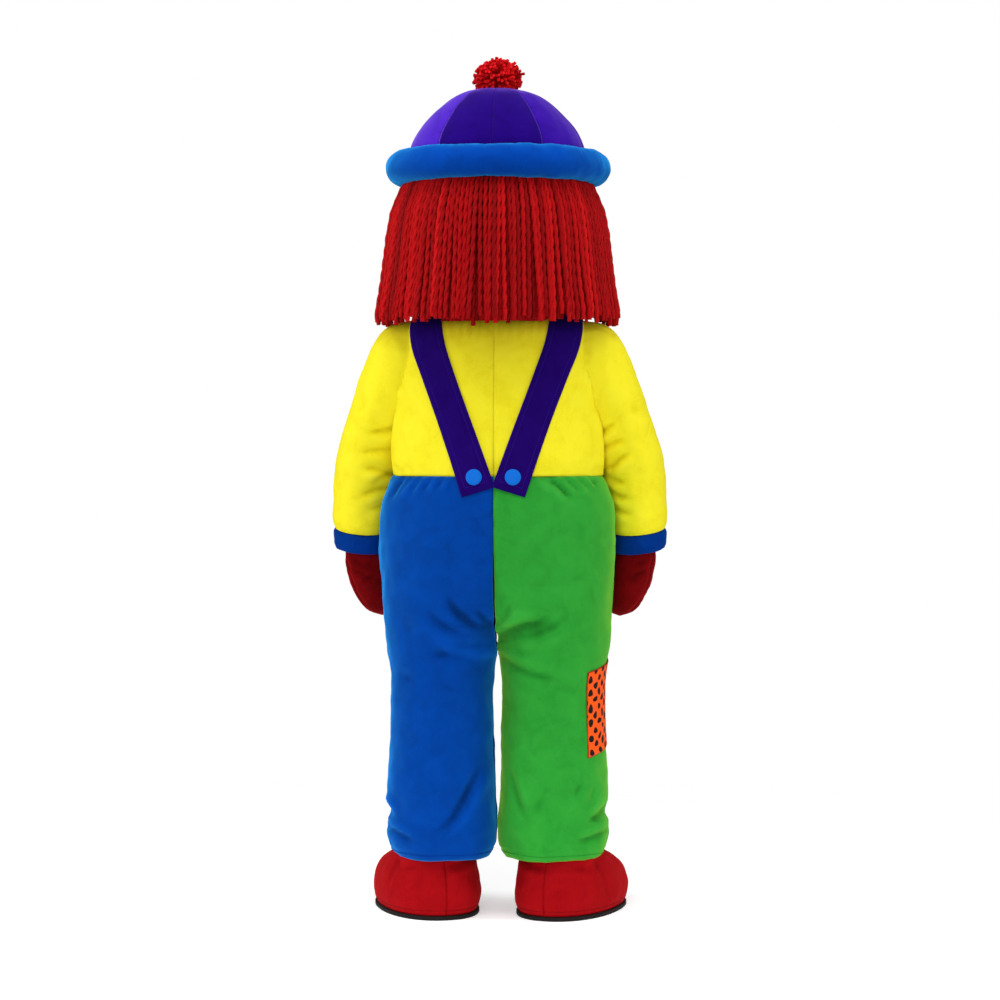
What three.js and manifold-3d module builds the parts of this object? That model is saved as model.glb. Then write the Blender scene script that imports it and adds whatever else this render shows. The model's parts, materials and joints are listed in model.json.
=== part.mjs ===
// A clown mascot costume, filled out and standing on its soles: padded head with a yarn wig and
// a round hat, yellow top, two-colour gathered trousers with crossed straps, mittens and shoe covers.
// Millimetres. +Z is up, +Y is the way the costume faces, +X is the wearer's right seen from behind.

import * as THREE from 'three';
import { mergeVertices } from 'three/addons/utils/BufferGeometryUtils.js';
import ManifoldModule from 'manifold-3d';

const wasm = await ManifoldModule();
wasm.setup();

// Walls, gaps and shared sizes
const seamGap = 0.3;
const plushWall = 3;
const mittenWall = 3;
const cuffWall = 5;
const headWall = 6;
const crownWall = 3.5;
const shoeWall = 5;
const strapWall = 4;
const patchWall = 2.5;
const roundness = 2.15;
const degrees = Math.PI / 180;

// Heights where one garment piece ends and the next begins
const waistHeight = 1020;
const crotchHeight = 620;
const soleThickness = 10;

// Yellow top, one row for each level from the waist seam to the neck edge
const topSections = [
  { z: 1020, halfWidth: 240, back: 178, front: 186 },
  { z: 1034, halfWidth: 247, back: 183, front: 194 },
  { z: 1070, halfWidth: 249, back: 185, front: 198 },
  { z: 1130, halfWidth: 248, back: 183, front: 197 },
  { z: 1190, halfWidth: 246, back: 180, front: 191 },
  { z: 1250, halfWidth: 244, back: 174, front: 181 },
  { z: 1305, halfWidth: 240, back: 163, front: 167 },
  { z: 1345, halfWidth: 231, back: 148, front: 151 },
  { z: 1378, halfWidth: 214, back: 128, front: 131 },
  { z: 1402, halfWidth: 179, back: 104, front: 107 },
  { z: 1415, halfWidth: 142, back: 87, front: 91 },
  { z: 1420, halfWidth: 120, back: 79, front: 83 },
];

// One trouser leg, from the waist seam to the turned hem. Above the crotch the two legs' sections
// run into each other, and each leg's cloth stops at the centre seam.
const legSections = [
  { z: 1020, centre: 0, halfWidth: 240, back: 178, front: 186 },
  { z: 1003, centre: 0, halfWidth: 253, back: 188, front: 197 },
  { z: 975, centre: 4, halfWidth: 261, back: 196, front: 204 },
  { z: 940, centre: 12, halfWidth: 261, back: 200, front: 208 },
  { z: 895, centre: 28, halfWidth: 247, back: 201, front: 209 },
  { z: 845, centre: 48, halfWidth: 228, back: 199, front: 206 },
  { z: 795, centre: 70, halfWidth: 204, back: 194, front: 200 },
  { z: 738, centre: 95, halfWidth: 175, back: 185, front: 188 },
  { z: 682, centre: 116, halfWidth: 150, back: 171, front: 171 },
  { z: 648, centre: 125, halfWidth: 138, back: 160, front: 159 },
  { z: 620, centre: 130, halfWidth: 130, back: 151, front: 149 },
  { z: 545, centre: 130, halfWidth: 120.5, back: 135, front: 133 },
  { z: 465, centre: 130, halfWidth: 121, back: 128, front: 128 },
  { z: 375, centre: 131.5, halfWidth: 123, back: 128, front: 128 },
  { z: 295, centre: 132, halfWidth: 128, back: 131, front: 131 },
  { z: 243, centre: 128.5, halfWidth: 125, back: 127, front: 127 },
  { z: 205, centre: 131, halfWidth: 129.5, back: 131, front: 131 },
  { z: 168, centre: 129, halfWidth: 126.5, back: 127, front: 127 },
  { z: 148, centre: 129, halfWidth: 119, back: 120, front: 120 },
  { z: 137, centre: 129, halfWidth: 110, back: 111, front: 111 },
];

// Largest folds of the trousers, on the |x| and z of back and front alike: place of the middle,
// tilt from level, half length along the fold, half width across it, and depth (+ is a ridge)
const trouserFolds = [
  { x: 75, z: 655, tilt: 28, length: 60, width: 16, depth: 5 },
  { x: 95, z: 608, tilt: 16, length: 70, width: 15, depth: -5 },
  { x: 80, z: 570, tilt: 4, length: 65, width: 15, depth: 4 },
  { x: 150, z: 700, tilt: 38, length: 80, width: 20, depth: -4 },
  { x: 200, z: 850, tilt: 66, length: 90, width: 22, depth: 4 },
  { x: 165, z: 860, tilt: 74, length: 80, width: 20, depth: -4 },
  { x: 150, z: 430, tilt: -14, length: 80, width: 20, depth: -4 },
  { x: 120, z: 262, tilt: 10, length: 90, width: 20, depth: 5 },
  { x: 150, z: 222, tilt: -8, length: 85, width: 18, depth: -5 },
];

// Gathers under the waist seam, and how far from the centre seam they and the folds start
const waistGathers = 6;
const gatherDepth = 3.5;
const gatherHeight = 990;
const gatherReach = 34;
const gatherStart = [70, 130];
const foldStart = [6, 45];

// Sleeve, from inside the armhole to the cuff: centre, direction in the XZ plane, and the ring's
// two half widths
const sleeveSections = [
  { s: 0, x: 201, y: 0, z: 1289, turn: 2, width: 101, depth: 95 },
  { s: 1, x: 224, y: 6, z: 1278, turn: -31, width: 98, depth: 96 },
  { s: 2, x: 249, y: 20, z: 1214, turn: -60, width: 87, depth: 93 },
  { s: 3, x: 284, y: 42, z: 1148, turn: -70, width: 71, depth: 87 },
  { s: 4, x: 307, y: 62, z: 1080, turn: -76, width: 66, depth: 82 },
  { s: 5, x: 321, y: 78, z: 1012, turn: -80, width: 66, depth: 81 },
  { s: 6, x: 328, y: 90, z: 952, turn: -85, width: 66, depth: 80 },
  { s: 7, x: 330, y: 97, z: 910, turn: -89, width: 67, depth: 79 },
  { s: 8, x: 330, y: 99, z: 890, turn: -90, width: 63, depth: 73 },
];

// Creases round a sleeve: station, angle that each faces, its spread, half height and depth
const sleeveFolds = [
  { s: 2.6, facing: 215, spread: 70, reach: 0.24, depth: -5 },
  { s: 3.5, facing: 190, spread: 80, reach: 0.22, depth: -4 },
  { s: 4.4, facing: 200, spread: 75, reach: 0.22, depth: -5 },
  { s: 5.3, facing: 165, spread: 80, reach: 0.22, depth: -4 },
  { s: 6.2, facing: 200, spread: 70, reach: 0.2, depth: -4 },
];

const cuffCentre = { x: 330, y: 99 };
// The forearm hangs a little forward and in, so its rings lean: rise for each mm forward and outward
const handLean = {
  forward: 0.16, outward: 0.09, from: 980, full: 905, fading: 845, gone: 800,
};
const cuffSections = [
  { z: 889.5, width: 64, depth: 74 },
  { z: 874, width: 66.5, depth: 77 },
  { z: 856, width: 66, depth: 76 },
  { z: 845, width: 62, depth: 71.5 },
];

// Mitten, from its wrist inside the cuff to the tip
const mittenSections = [
  { z: 886, x: 330, y: 99, turn: 0, width: 58, depth: 69 },
  { z: 870, x: 328, y: 100, turn: 8, width: 52, depth: 60 },
  { z: 846, x: 325, y: 104, turn: 22, width: 45, depth: 49 },
  { z: 809, x: 311, y: 119, turn: 38, width: 64, depth: 49 },
  { z: 761, x: 300, y: 130, turn: 40, width: 64, depth: 46 },
  { z: 722, x: 291, y: 136, turn: 40, width: 50, depth: 37 },
  { z: 699, x: 287, y: 139, turn: 40, width: 29, depth: 22 },
  { z: 690, x: 285, y: 140, turn: 40, width: 2, depth: 2 },
];
const thumbStart = new THREE.Vector3(272, 153, 812);
const thumbAim = new THREE.Vector3(-0.3, 0.42, -0.86).normalize();
const thumbSections = [
  { s: 0, radius: 24 },
  { s: 30, radius: 25 },
  { s: 55, radius: 22 },
  { s: 70, radius: 14 },
  { s: 77, radius: 2 },
];

// Head shell, from its rim on the shoulders to its open top inside the hat
const headSections = [
  { z: 1384, halfWidth: 160, back: 148, front: 150 },
  { z: 1405, halfWidth: 181, back: 170, front: 172 },
  { z: 1440, halfWidth: 209, back: 200, front: 203 },
  { z: 1490, halfWidth: 229, back: 223, front: 226 },
  { z: 1545, halfWidth: 233, back: 229, front: 233 },
  { z: 1600, halfWidth: 229, back: 226, front: 229 },
  { z: 1650, halfWidth: 213, back: 213, front: 216 },
  { z: 1690, halfWidth: 193, back: 193, front: 195 },
  { z: 1738, halfWidth: 179.4, back: 179.4, front: 179.4 },
];
const headRoundness = 2;
const faceHalfAngle = 66;
const visionPort = { x: 72, z: 1572, halfWidth: 27, halfHeight: 36, sunk: 1.5, wall: 2, cut: 200 };

// Hat. The crown's seams are angles round it, and the three at the back are unevenly spaced.
const brim = { radius: 224, tube: 43, z: 1737, around: 30, section: 8 };
const crownSeams = [-128.5, -91, -57, -12, 35, 82, 130, 180];
const crownPuff = 2;
const crownSections = [
  { s: 0, radius: 204, z: 1773.6 },
  { s: 1, radius: 201, z: 1796 },
  { s: 2, radius: 182, z: 1831 },
  { s: 3, radius: 150, z: 1871 },
  { s: 4, radius: 103, z: 1908 },
  { s: 5, radius: 52, z: 1925.5 },
  { s: 6, radius: 13, z: 1930 },
];
const pompom = {
  z: 1953, radius: 59, height: 47, core: 25, strands: 34, strandRoot: 3.5, strandTip: 10.5,
  lowest: -0.55,
};

// Wig: two staggered layers of yarn locks hung from one narrow strip under the brim
const wig = { halfAngle: 120, outerLocks: 38, innerLocks: 35, layerStep: 13.2 };
const wigStrip = { low: 1683, high: 1693.6, inner: 203, outer: 231 };
const lockPath = [
  { s: 0, z: 1688, radius: 221, thickness: 8 },
  { s: 1, z: 1610, radius: 250.5, thickness: 9.6 },
  { s: 2, z: 1372, radius: 279, thickness: 10.4 },
];
const lockRiseAtSides = 12;
const lockUneven = 9;
const lockUnevenTurn = 2.4;

// Straps: middle line on the torso from the back end over the shoulder to the front end
const strapHalfWidth = 35.5;
const strapBridge = [978, 1062];
const strapSlack = 2.5;
const strapPlugEdge = 1;
const strapApart = 0.5;
const shoulderEdge = 238;
const strapPath = [
  { s: 0, x: 34, z: 984 },
  { s: 1, x: 182, z: 1406 },
  { s: 2, x: 112, z: 984 },
];
const strapShoulderIn = 20;
const button = {
  radius: 18.5, height: 7, rimWidth: 1.5, sunk: 6, lift: 0.6,
  backX: 44, backZ: 1018, frontX: 116, frontZ: 1012,
};

// Patch on the right leg: its rear edge shows from behind and the rest wraps round the side
const patch = { rearAngle: -50, frontAngle: 48, low: 376, high: 576, rise: 40 };

// Shoe covers, in their own frame: heel at the origin, toe along +Y
const shoeHeel = { x: 111, y: -120 };
const shoeTurn = 18;
const shoeSections = [
  { z: 10, heel: 6, toe: 392, halfWidth: 113 },
  { z: 38, heel: 0, toe: 400, halfWidth: 119 },
  { z: 74, heel: 3, toe: 390, halfWidth: 117 },
  { z: 106, heel: 13, toe: 352, halfWidth: 110 },
  { z: 127, heel: 22, toe: 296, halfWidth: 102 },
  { z: 150, heel: 30, toe: 230, halfWidth: 93 },
  { z: 190, heel: 38, toe: 196, halfWidth: 80 },
];
const shoeRoundness = 2.35;

// Colours of the plush, yarn and plastic
const colours = {
  yellow: 0xf0e22c, blue: 0x0250b8, green: 0x2fa037, purple: 0x37129a, strap: 0x26067a,
  brimBlue: 0x0456cf, red: 0xa90c14, yarn: 0xb31012, pale: 0xe9c3a2, mesh: 0x2a2422,
  cuff: 0x0040a0, button: 0x0a66cc, orange: 0xff6a2a, sole: 0x1d1817,
};

// Reads one row out of a table of sections, smoothly between its rows
function readTable(rows, by, at) {
  const rising = rows[0][by] < rows[rows.length - 1][by];
  const key = (row) => (rising ? row[by] : -row[by]);
  const place = rising ? at : -at;
  let i = 0;
  while (i < rows.length - 2 && place > key(rows[i + 1])) i += 1;
  const low = rows[i];
  const high = rows[i + 1];
  const span = key(high) - key(low);
  const f = Math.min(Math.max((place - key(low)) / span, 0), 1);
  const before = rows[Math.max(i - 1, 0)];
  const after = rows[Math.min(i + 2, rows.length - 1)];
  const result = {};
  for (const name of Object.keys(low)) {
    const startSlope = (high[name] - before[name]) / (key(high) - key(before)) * span;
    const endSlope = (after[name] - low[name]) / (key(after) - key(low)) * span;
    const f2 = f * f;
    const f3 = f2 * f;
    result[name] = (2 * f3 - 3 * f2 + 1) * low[name] + (f3 - 2 * f2 + f) * startSlope
      + (3 * f2 - 2 * f3) * high[name] + (f3 - f2) * endSlope;
  }
  return result;
}

function smoothStep(low, high, value) {
  const f = Math.min(Math.max((value - low) / (high - low), 0), 1);
  return f * f * (3 - 2 * f);
}

function signedPower(value, power) {
  return Math.sign(value) * Math.abs(value) ** power;
}

function steps(start, end, count) {
  return Array.from({ length: count + 1 }, (_, i) => start + (end - start) * i / count);
}

// Normal of a surface at(u, v), by small differences
function normalOf(at, u, v, du, dv) {
  const alongU = at(u + du, v).sub(at(u - du, v));
  const alongV = at(u, v + dv).sub(at(u, v - dv));
  return alongU.cross(alongV).normalize();
}

// A cloth wall over the grid us by vs of the surface at(u, v). The outer face lies on the surface,
// moved out by outset. Edges named in seams are drawn back by half a seam gap. A tube closes
// round u. A pole closes the last row to a point. A filled one has no inner face.
function wallOver({ at, us, vs, wall, tube = false, outset = 0, side = 1, seams = '',
  pole = false, filled = false, levelRims = true, keep = (point) => point }) {
  const du = (us[1] - us[0]) * 0.01;
  const dv = (vs[1] - vs[0]) * 0.01;
  const last = vs.length - 1;
  const columns = us.length;
  const outer = [];
  const inner = [];
  vs.forEach((v, i) => {
    us.forEach((u) => {
      const point = at(u, v);
      const normal = normalOf(at, u, v, du, dv).multiplyScalar(side);
      if (levelRims && (i === 0 || (i === last && !pole))) {
        normal.z = 0;
        normal.normalize();
      }
      outer.push(point.clone().addScaledVector(normal, outset));
      inner.push(point.clone().addScaledVector(normal, outset - wall));
    });
  });
  const draw = (points, edge, next) => {
    const pull = points[next].clone().sub(points[edge]).normalize();
    return points[edge].clone().addScaledVector(pull, seamGap / 2);
  };
  for (const points of [outer, inner]) {
    const original = points.map((point) => point.clone());
    const shift = (edge, next) => {
      const moved = draw(original, edge, next).sub(original[edge]);
      points[edge].add(moved);
    };
    for (let j = 0; j < columns; j += 1) {
      if (seams.includes('low')) shift(j, j + columns);
      if (seams.includes('high')) shift(last * columns + j, (last - 1) * columns + j);
    }
    for (let i = 0; i <= last; i += 1) {
      if (seams.includes('start')) shift(i * columns, i * columns + 1);
      if (seams.includes('end')) shift(i * columns + columns - 1, i * columns + columns - 2);
    }
  }
  const points = [...outer, ...inner].map(keep);
  const triangles = [];
  const add = (a, b, c) => triangles.push(side > 0 ? [a, b, c] : [a, c, b]);
  const innerStart = outer.length;
  const rowCount = pole ? last - 1 : last;
  const span = tube ? columns : columns - 1;
  for (let i = 0; i < rowCount; i += 1) {
    for (let j = 0; j < span; j += 1) {
      const a = i * columns + j;
      const b = i * columns + (j + 1) % columns;
      const c = b + columns;
      const d = a + columns;
      add(a, b, c);
      add(a, c, d);
      if (filled) continue;
      add(a + innerStart, c + innerStart, b + innerStart);
      add(a + innerStart, d + innerStart, c + innerStart);
    }
  }
  const closeRow = (row, tip, upward) => {
    for (let j = 0; j < span; j += 1) {
      const a = row + j;
      const b = row + (j + 1) % columns;
      if (upward) add(a, b, tip);
      else add(b, a, tip);
    }
  };
  const middle = (row) => {
    const centre = new THREE.Vector3();
    for (let j = 0; j < columns; j += 1) centre.add(points[row + j]);
    points.push(centre.divideScalar(columns));
    return points.length - 1;
  };
  if (filled) {
    closeRow(0, middle(0), false);
    closeRow(rowCount * columns, middle(pole ? last * columns : rowCount * columns), true);
  } else {
    for (let j = 0; j < span; j += 1) {
      const a = j;
      const b = (j + 1) % columns;
      add(b, a, a + innerStart);
      add(b, a + innerStart, b + innerStart);
      if (pole) continue;
      const d = last * columns + a;
      const c = last * columns + b;
      add(d, c, c + innerStart);
      add(d, c + innerStart, d + innerStart);
    }
    if (pole) {
      closeRow(rowCount * columns, middle(last * columns), true);
      const innerRow = innerStart + rowCount * columns;
      closeRow(innerRow, middle(innerStart + last * columns), false);
    }
  }
  if (!tube && !filled) {
    for (let i = 0; i < last; i += 1) {
      const a = i * columns;
      const d = a + columns;
      add(a, d, d + innerStart);
      add(a, d + innerStart, a + innerStart);
      const b = a + columns - 1;
      const c = b + columns;
      add(c, b, b + innerStart);
      add(c, b + innerStart, c + innerStart);
    }
  }
  return solidFrom(points, triangles);
}

// A closed solid from points and triangles, without the points that no triangle uses
function solidFrom(points, triangles) {
  const used = new Map();
  const flat = [];
  const corners = triangles.flat().map((index) => {
    if (!used.has(index)) {
      used.set(index, used.size);
      flat.push(points[index].x, points[index].y, points[index].z);
    }
    return used.get(index);
  });
  return new wasm.Manifold(new wasm.Mesh({
    numProp: 3,
    vertProperties: new Float32Array(flat),
    triVerts: new Uint32Array(corners),
  }));
}

// A closed solid from one of three.js's own geometries
function solidOf(geometry) {
  geometry.deleteAttribute('normal');
  geometry.deleteAttribute('uv');
  const merged = mergeVertices(geometry, 1e-3);
  return new wasm.Manifold(new wasm.Mesh({
    numProp: 3,
    vertProperties: new Float32Array(merged.attributes.position.array),
    triVerts: new Uint32Array(merged.index.array),
  }));
}

function largestBody(solid) {
  return solid.decompose().sort((a, b) => b.volume() - a.volume())[0];
}

const costume = new THREE.Group();

function addPiece(name, solid, colour, roughness = 0.9) {
  const mesh = solid.getMesh();
  const geometry = new THREE.BufferGeometry();
  const positions = new THREE.BufferAttribute(new Float32Array(mesh.vertProperties), 3);
  geometry.setAttribute('position', positions);
  geometry.setIndex(Array.from(mesh.triVerts));
  geometry.computeVertexNormals();
  const material = new THREE.MeshStandardMaterial({ color: colour, roughness, metalness: 0 });
  const piece = new THREE.Mesh(geometry, material);
  piece.name = name;
  costume.add(piece);
  return piece;
}

// Mirrors a surface function to the costume's left for side -1
function mirrored(at, side) {
  return (u, v) => {
    const point = at(u, v);
    point.x *= side;
    return point;
  };
}

// Point on a rounded section. Angle 0 is the right side, 90 degrees the front, -90 the back.
function sectionPoint(section, angle, power) {
  const c = signedPower(Math.cos(angle * degrees), 2 / power);
  const s = signedPower(Math.sin(angle * degrees), 2 / power);
  const centre = section.centre || 0;
  const depth = s < 0 ? section.back : section.front;
  return new THREE.Vector3(centre + section.halfWidth * c, depth * s, section.z);
}

// Yellow top
const topAt = (angle, z) => sectionPoint(readTable(topSections, 'z', z), angle, roundness);
const topLevels = topSections.map((row) => row.z);
const rightBackAngles = steps(-90, 0, 6);
const frontAngles = steps(0, 180, 10);
const leftBackAngles = steps(180, 270, 6);
const allTopAngles = [...rightBackAngles, ...frontAngles.slice(1), ...leftBackAngles.slice(1, -1)];

const topPlug = wallOver({
  at: topAt, us: allTopAngles, vs: topLevels, tube: true, filled: true, outset: seamGap, wall: 0,
});

// Leans the rings of the forearm and hand about their own centre
function leaned(point, centreX, centreY, height) {
  const share = smoothStep(0, 1, (handLean.from - height) / (handLean.from - handLean.full));
  const rise = handLean.forward * (point.y - centreY) + handLean.outward * (point.x - centreX);
  point.z += share * rise * smoothStep(handLean.gone, handLean.fading, height);
  return point;
}

// Sleeve surface: angle 0 faces outwards and up, 180 faces the body, 90 the front
function sleeveAt(angle, s) {
  const row = readTable(sleeveSections, 's', s);
  const turn = row.turn * degrees;
  let swell = 0;
  for (const fold of sleeveFolds) {
    const away = Math.abs(((angle - fold.facing + 540) % 360) - 180) / fold.spread;
    swell += fold.depth * Math.exp(-(away ** 2)) * Math.exp(-(((s - fold.s) / fold.reach) ** 2));
  }
  const c = Math.cos(angle * degrees) * (row.width + swell);
  const d = Math.sin(angle * degrees) * (row.depth + swell);
  const point = new THREE.Vector3(row.x - Math.sin(turn) * c, row.y + d, row.z + Math.cos(turn) * c);
  return leaned(point, row.x, row.y, row.z);
}
const armAngles = steps(0, 360, 10).slice(0, -1);
const sleeveStations = [0, 1, 1.9, 2.7, 3.4, 4.2, 5, 6, 7, 8];

const sleeves = [1, -1].map((side) => {
  const shape = { at: mirrored(sleeveAt, side), us: armAngles, vs: sleeveStations, tube: true };
  const wall = wallOver({ ...shape, side: -side, wall: plushWall, seams: 'high' });
  const plug = wallOver({ ...shape, side: -side, wall: 0, filled: true, outset: seamGap });
  return { wall: largestBody(wall.subtract(topPlug)), plug };
});
const sleevePlugs = sleeves[0].plug.add(sleeves[1].plug);

function topPanel(us) {
  const panel = wallOver({ at: topAt, us, vs: topLevels, wall: plushWall, seams: 'low start end' });
  return largestBody(panel.subtract(sleevePlugs));
}
addPiece('top_back_right', topPanel(rightBackAngles), colours.yellow);
addPiece('top_front', topPanel(frontAngles), colours.yellow);
addPiece('top_back_left', topPanel(leftBackAngles), colours.yellow);
addPiece('sleeve_right', sleeves[0].wall, colours.yellow);
addPiece('sleeve_left', sleeves[1].wall, colours.yellow);

// Cuffs
const cuffAt = (angle, z) => {
  const row = readTable(cuffSections, 'z', z);
  const x = cuffCentre.x + row.width * Math.cos(angle * degrees);
  const point = new THREE.Vector3(x, cuffCentre.y + row.depth * Math.sin(angle * degrees), z);
  return leaned(point, cuffCentre.x, cuffCentre.y, handLean.full);
};
const cuffLevels = cuffSections.map((row) => row.z);
[['cuff_right', 1], ['cuff_left', -1]].forEach(([name, side]) => {
  const cuff = wallOver({
    at: mirrored(cuffAt, side), us: armAngles, vs: cuffLevels, wall: cuffWall, tube: true,
    side: -side, seams: 'low',
  });
  addPiece(name, cuff, colours.cuff);
});

// Mittens, each a pouch split along its seam, and a thumb
const mittenAt = (angle, z) => {
  const row = readTable(mittenSections, 'z', z);
  const w = row.width * Math.cos(angle * degrees);
  const d = row.depth * Math.sin(angle * degrees);
  const turn = row.turn * degrees;
  const x = row.x + w * Math.cos(turn) + d * Math.sin(turn);
  const point = new THREE.Vector3(x, row.y - w * Math.sin(turn) + d * Math.cos(turn), z);
  return leaned(point, row.x, row.y, z);
};
const mittenLevels = [886, 870, 846, 810, 766, 726, 701, 690];
const mittenMiddleHeight = 790;
const clearOfMitten = 200;

const thumbAcross = new THREE.Vector3(0, 1, 0).cross(thumbAim).normalize();
const thumbUp = thumbAim.clone().cross(thumbAcross);
const thumbAt = (angle, s) => {
  const row = readTable(thumbSections, 's', s);
  return thumbStart.clone().addScaledVector(thumbAim, s)
    .addScaledVector(thumbAcross, row.radius * Math.cos(angle * degrees))
    .addScaledVector(thumbUp, row.radius * Math.sin(angle * degrees));
};
const thumbAngles = steps(0, 360, 7).slice(0, -1);
const thumbStations = [0, 35, 60, 77];

// Half of the space beside the mitten's seam, from a big box turned with the mitten
function seamHalf(side, half) {
  const middle = readTable(mittenSections, 'z', mittenMiddleHeight);
  const box = new THREE.BoxGeometry(2 * clearOfMitten, clearOfMitten, 2 * clearOfMitten);
  box.translate(0, half * (clearOfMitten + seamGap) / 2, 0);
  box.rotateZ(-side * middle.turn * degrees);
  box.translate(side * middle.x, middle.y, middle.z);
  return solidOf(box);
}

function addMitten(word, side) {
  const shape = {
    at: mirrored(mittenAt, side), us: armAngles, vs: mittenLevels, tube: true, pole: true,
    side: -side,
  };
  const pouch = wallOver({ ...shape, wall: mittenWall });
  const plug = wallOver({ ...shape, wall: 0, filled: true, outset: seamGap });
  const thumb = {
    at: mirrored(thumbAt, side), us: thumbAngles, vs: thumbStations, tube: true, pole: true,
    side, levelRims: false,
  };
  const thumbWall = wallOver({ ...thumb, wall: mittenWall });
  const thumbPlug = wallOver({ ...thumb, wall: 0, filled: true, outset: seamGap });
  const holed = pouch.subtract(thumbPlug);
  const palm = holed.intersect(seamHalf(side, -1));
  const back = holed.intersect(seamHalf(side, 1));
  addPiece(`mitten_palm_${word}`, largestBody(palm), colours.red);
  addPiece(`mitten_back_${word}`, largestBody(back), colours.red);
  addPiece(`thumb_${word}`, largestBody(thumbWall.subtract(plug)), colours.red);
}
addMitten('right', 1);
addMitten('left', -1);

// Shoe covers: an upper of two halves on a black sole
const shoeAt = (angle, z) => {
  const row = readTable(shoeSections, 'z', z);
  const middle = (row.heel + row.toe) / 2;
  const x = row.halfWidth * signedPower(Math.cos(angle * degrees), 2 / shoeRoundness);
  const half = (row.toe - row.heel) / 2;
  const y = middle + half * signedPower(Math.sin(angle * degrees), 2 / shoeRoundness);
  const turn = -shoeTurn * degrees;
  return new THREE.Vector3(
    shoeHeel.x + x * Math.cos(turn) - y * Math.sin(turn),
    shoeHeel.y + x * Math.sin(turn) + y * Math.cos(turn),
    z,
  );
};
const shoeLevels = shoeSections.map((row) => row.z);
const outerSideAngles = steps(-90, 90, 8);
const innerSideAngles = steps(90, 270, 8);
const shoeAngles = [...outerSideAngles, ...innerSideAngles.slice(1, -1)];

function addShoe(word, side) {
  const at = mirrored(shoeAt, side);
  for (const [part, us] of [['outer', outerSideAngles], ['inner', innerSideAngles]]) {
    const upper = wallOver({ at, us, vs: shoeLevels, wall: shoeWall, side, seams: 'low start end' });
    addPiece(`shoe_${part}_${word}`, upper, colours.red);
  }
  const soleAt = (angle, z) => {
    const point = at(angle, soleThickness);
    point.z = z;
    return point;
  };
  const sole = wallOver({
    at: soleAt, us: shoeAngles, vs: [0, soleThickness - seamGap / 2], wall: 0, tube: true,
    side, filled: true, outset: 3,
  });
  addPiece(`sole_${word}`, sole, colours.sole, 0.7);
  return wallOver({
    at, us: shoeAngles, vs: shoeLevels, wall: 0, tube: true, side, filled: true, outset: seamGap,
  });
}
const shoePlugs = addShoe('right', 1).add(addShoe('left', -1));

// Trousers: each leg has a back and a front panel. f runs from the centre seam, or the inseam
// below the crotch, to the side seam, and face is -1 for the back and 1 for the front.
function legPoint(face, f, z) {
  const row = readTable(legSections, 'z', z);
  const ratio = Math.min(Math.max(row.centre / row.halfWidth, 0), 1);
  const innerAngle = 180 - Math.acos(ratio ** (roundness / 2)) / degrees;
  const angle = face * innerAngle * (1 - f);
  const point = sectionPoint(row, angle, roundness);
  const out = new THREE.Vector3(point.x - row.centre, point.y, 0).normalize();
  const fade = z > crotchHeight ? smoothStep(...foldStart, point.x) : 1;
  let swell = 0;
  for (const fold of trouserFolds) {
    const tilt = fold.tilt * degrees;
    const x = point.x - fold.x;
    const up = z - fold.z;
    const along = (x * Math.cos(tilt) + up * Math.sin(tilt)) / fold.length;
    const across = (up * Math.cos(tilt) - x * Math.sin(tilt)) / fold.width;
    swell += fold.depth * Math.exp(-(along ** 2) - across ** 2);
  }
  const wave = Math.cos(f * waistGathers * 2 * Math.PI);
  const band = Math.exp(-(((z - gatherHeight) / gatherReach) ** 2));
  const belowSeam = smoothStep(0, 12, waistHeight - z);
  swell += gatherDepth * wave * band * belowSeam * smoothStep(...gatherStart, point.x);
  return point.addScaledVector(out, swell * fade);
}
const legLevels = legSections.map((row) => row.z);
const panelSteps = steps(0, 1, 12);

function legPanel(side, face, options) {
  const at = (f, z) => {
    const point = legPoint(face, f, z);
    point.x *= side;
    return point;
  };
  const keep = (point) => {
    point.x = side * Math.max(point.x * side, seamGap / 2);
    return point;
  };
  return wallOver({
    at, us: panelSteps, vs: legLevels, wall: plushWall, side: side * face,
    seams: 'low start end', keep, ...options,
  });
}

for (const [word, side, colour] of [['left', -1, colours.blue], ['right', 1, colours.green]]) {
  for (const [part, face] of [['back', -1], ['front', 1]]) {
    const panel = largestBody(legPanel(side, face, {}).subtract(shoePlugs));
    addPiece(`leg_${part}_${word}`, panel, colour);
  }
}

// What the straps, buttons and patch lie on: the trousers' panels as thick slabs, the top and sleeves
const slabDepth = 30;
const legSlab = (side, face) => legPanel(side, face, {
  wall: slabDepth, outset: seamGap, seams: '', keep: (point) => point,
});
const legSlabs = [legSlab(1, -1), legSlab(1, 1), legSlab(-1, -1), legSlab(-1, 1)];
const trouserSlabs = wasm.Manifold.union(legSlabs);
const under = topPlug.add(trouserSlabs).add(sleevePlugs);

// Depth of the torso's surface at x and z
function torsoDepth(x, z, face) {
  const table = z >= waistHeight ? topSections : legSections;
  const row = readTable(table, 'z', z);
  const across = Math.min(Math.abs(x - (row.centre || 0)) / row.halfWidth, 1);
  const depth = face < 0 ? row.back : row.front;
  return face * depth * (1 - across ** roundness) ** (1 / roundness);
}

// The strap spans the groove of the waist seam in a straight line
function strapDepth(x, z, face) {
  const [low, high] = strapBridge;
  const own = torsoDepth(x, z, face);
  if (z <= low || z >= high) return own;
  const share = (z - low) / (high - low);
  const across = torsoDepth(x, low, face) * (1 - share) + torsoDepth(x, high, face) * share;
  return face * Math.max(face * own, face * across);
}

// Height of the shoulder's ridge at x, by halving the range that it lies in
function ridgeHeight(x) {
  let low = 1200;
  let high = topSections[topSections.length - 1].z;
  for (let i = 0; i < 30; i += 1) {
    const middle = (low + high) / 2;
    if (readTable(topSections, 'z', middle).halfWidth > x) low = middle;
    else high = middle;
  }
  return low;
}

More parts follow.
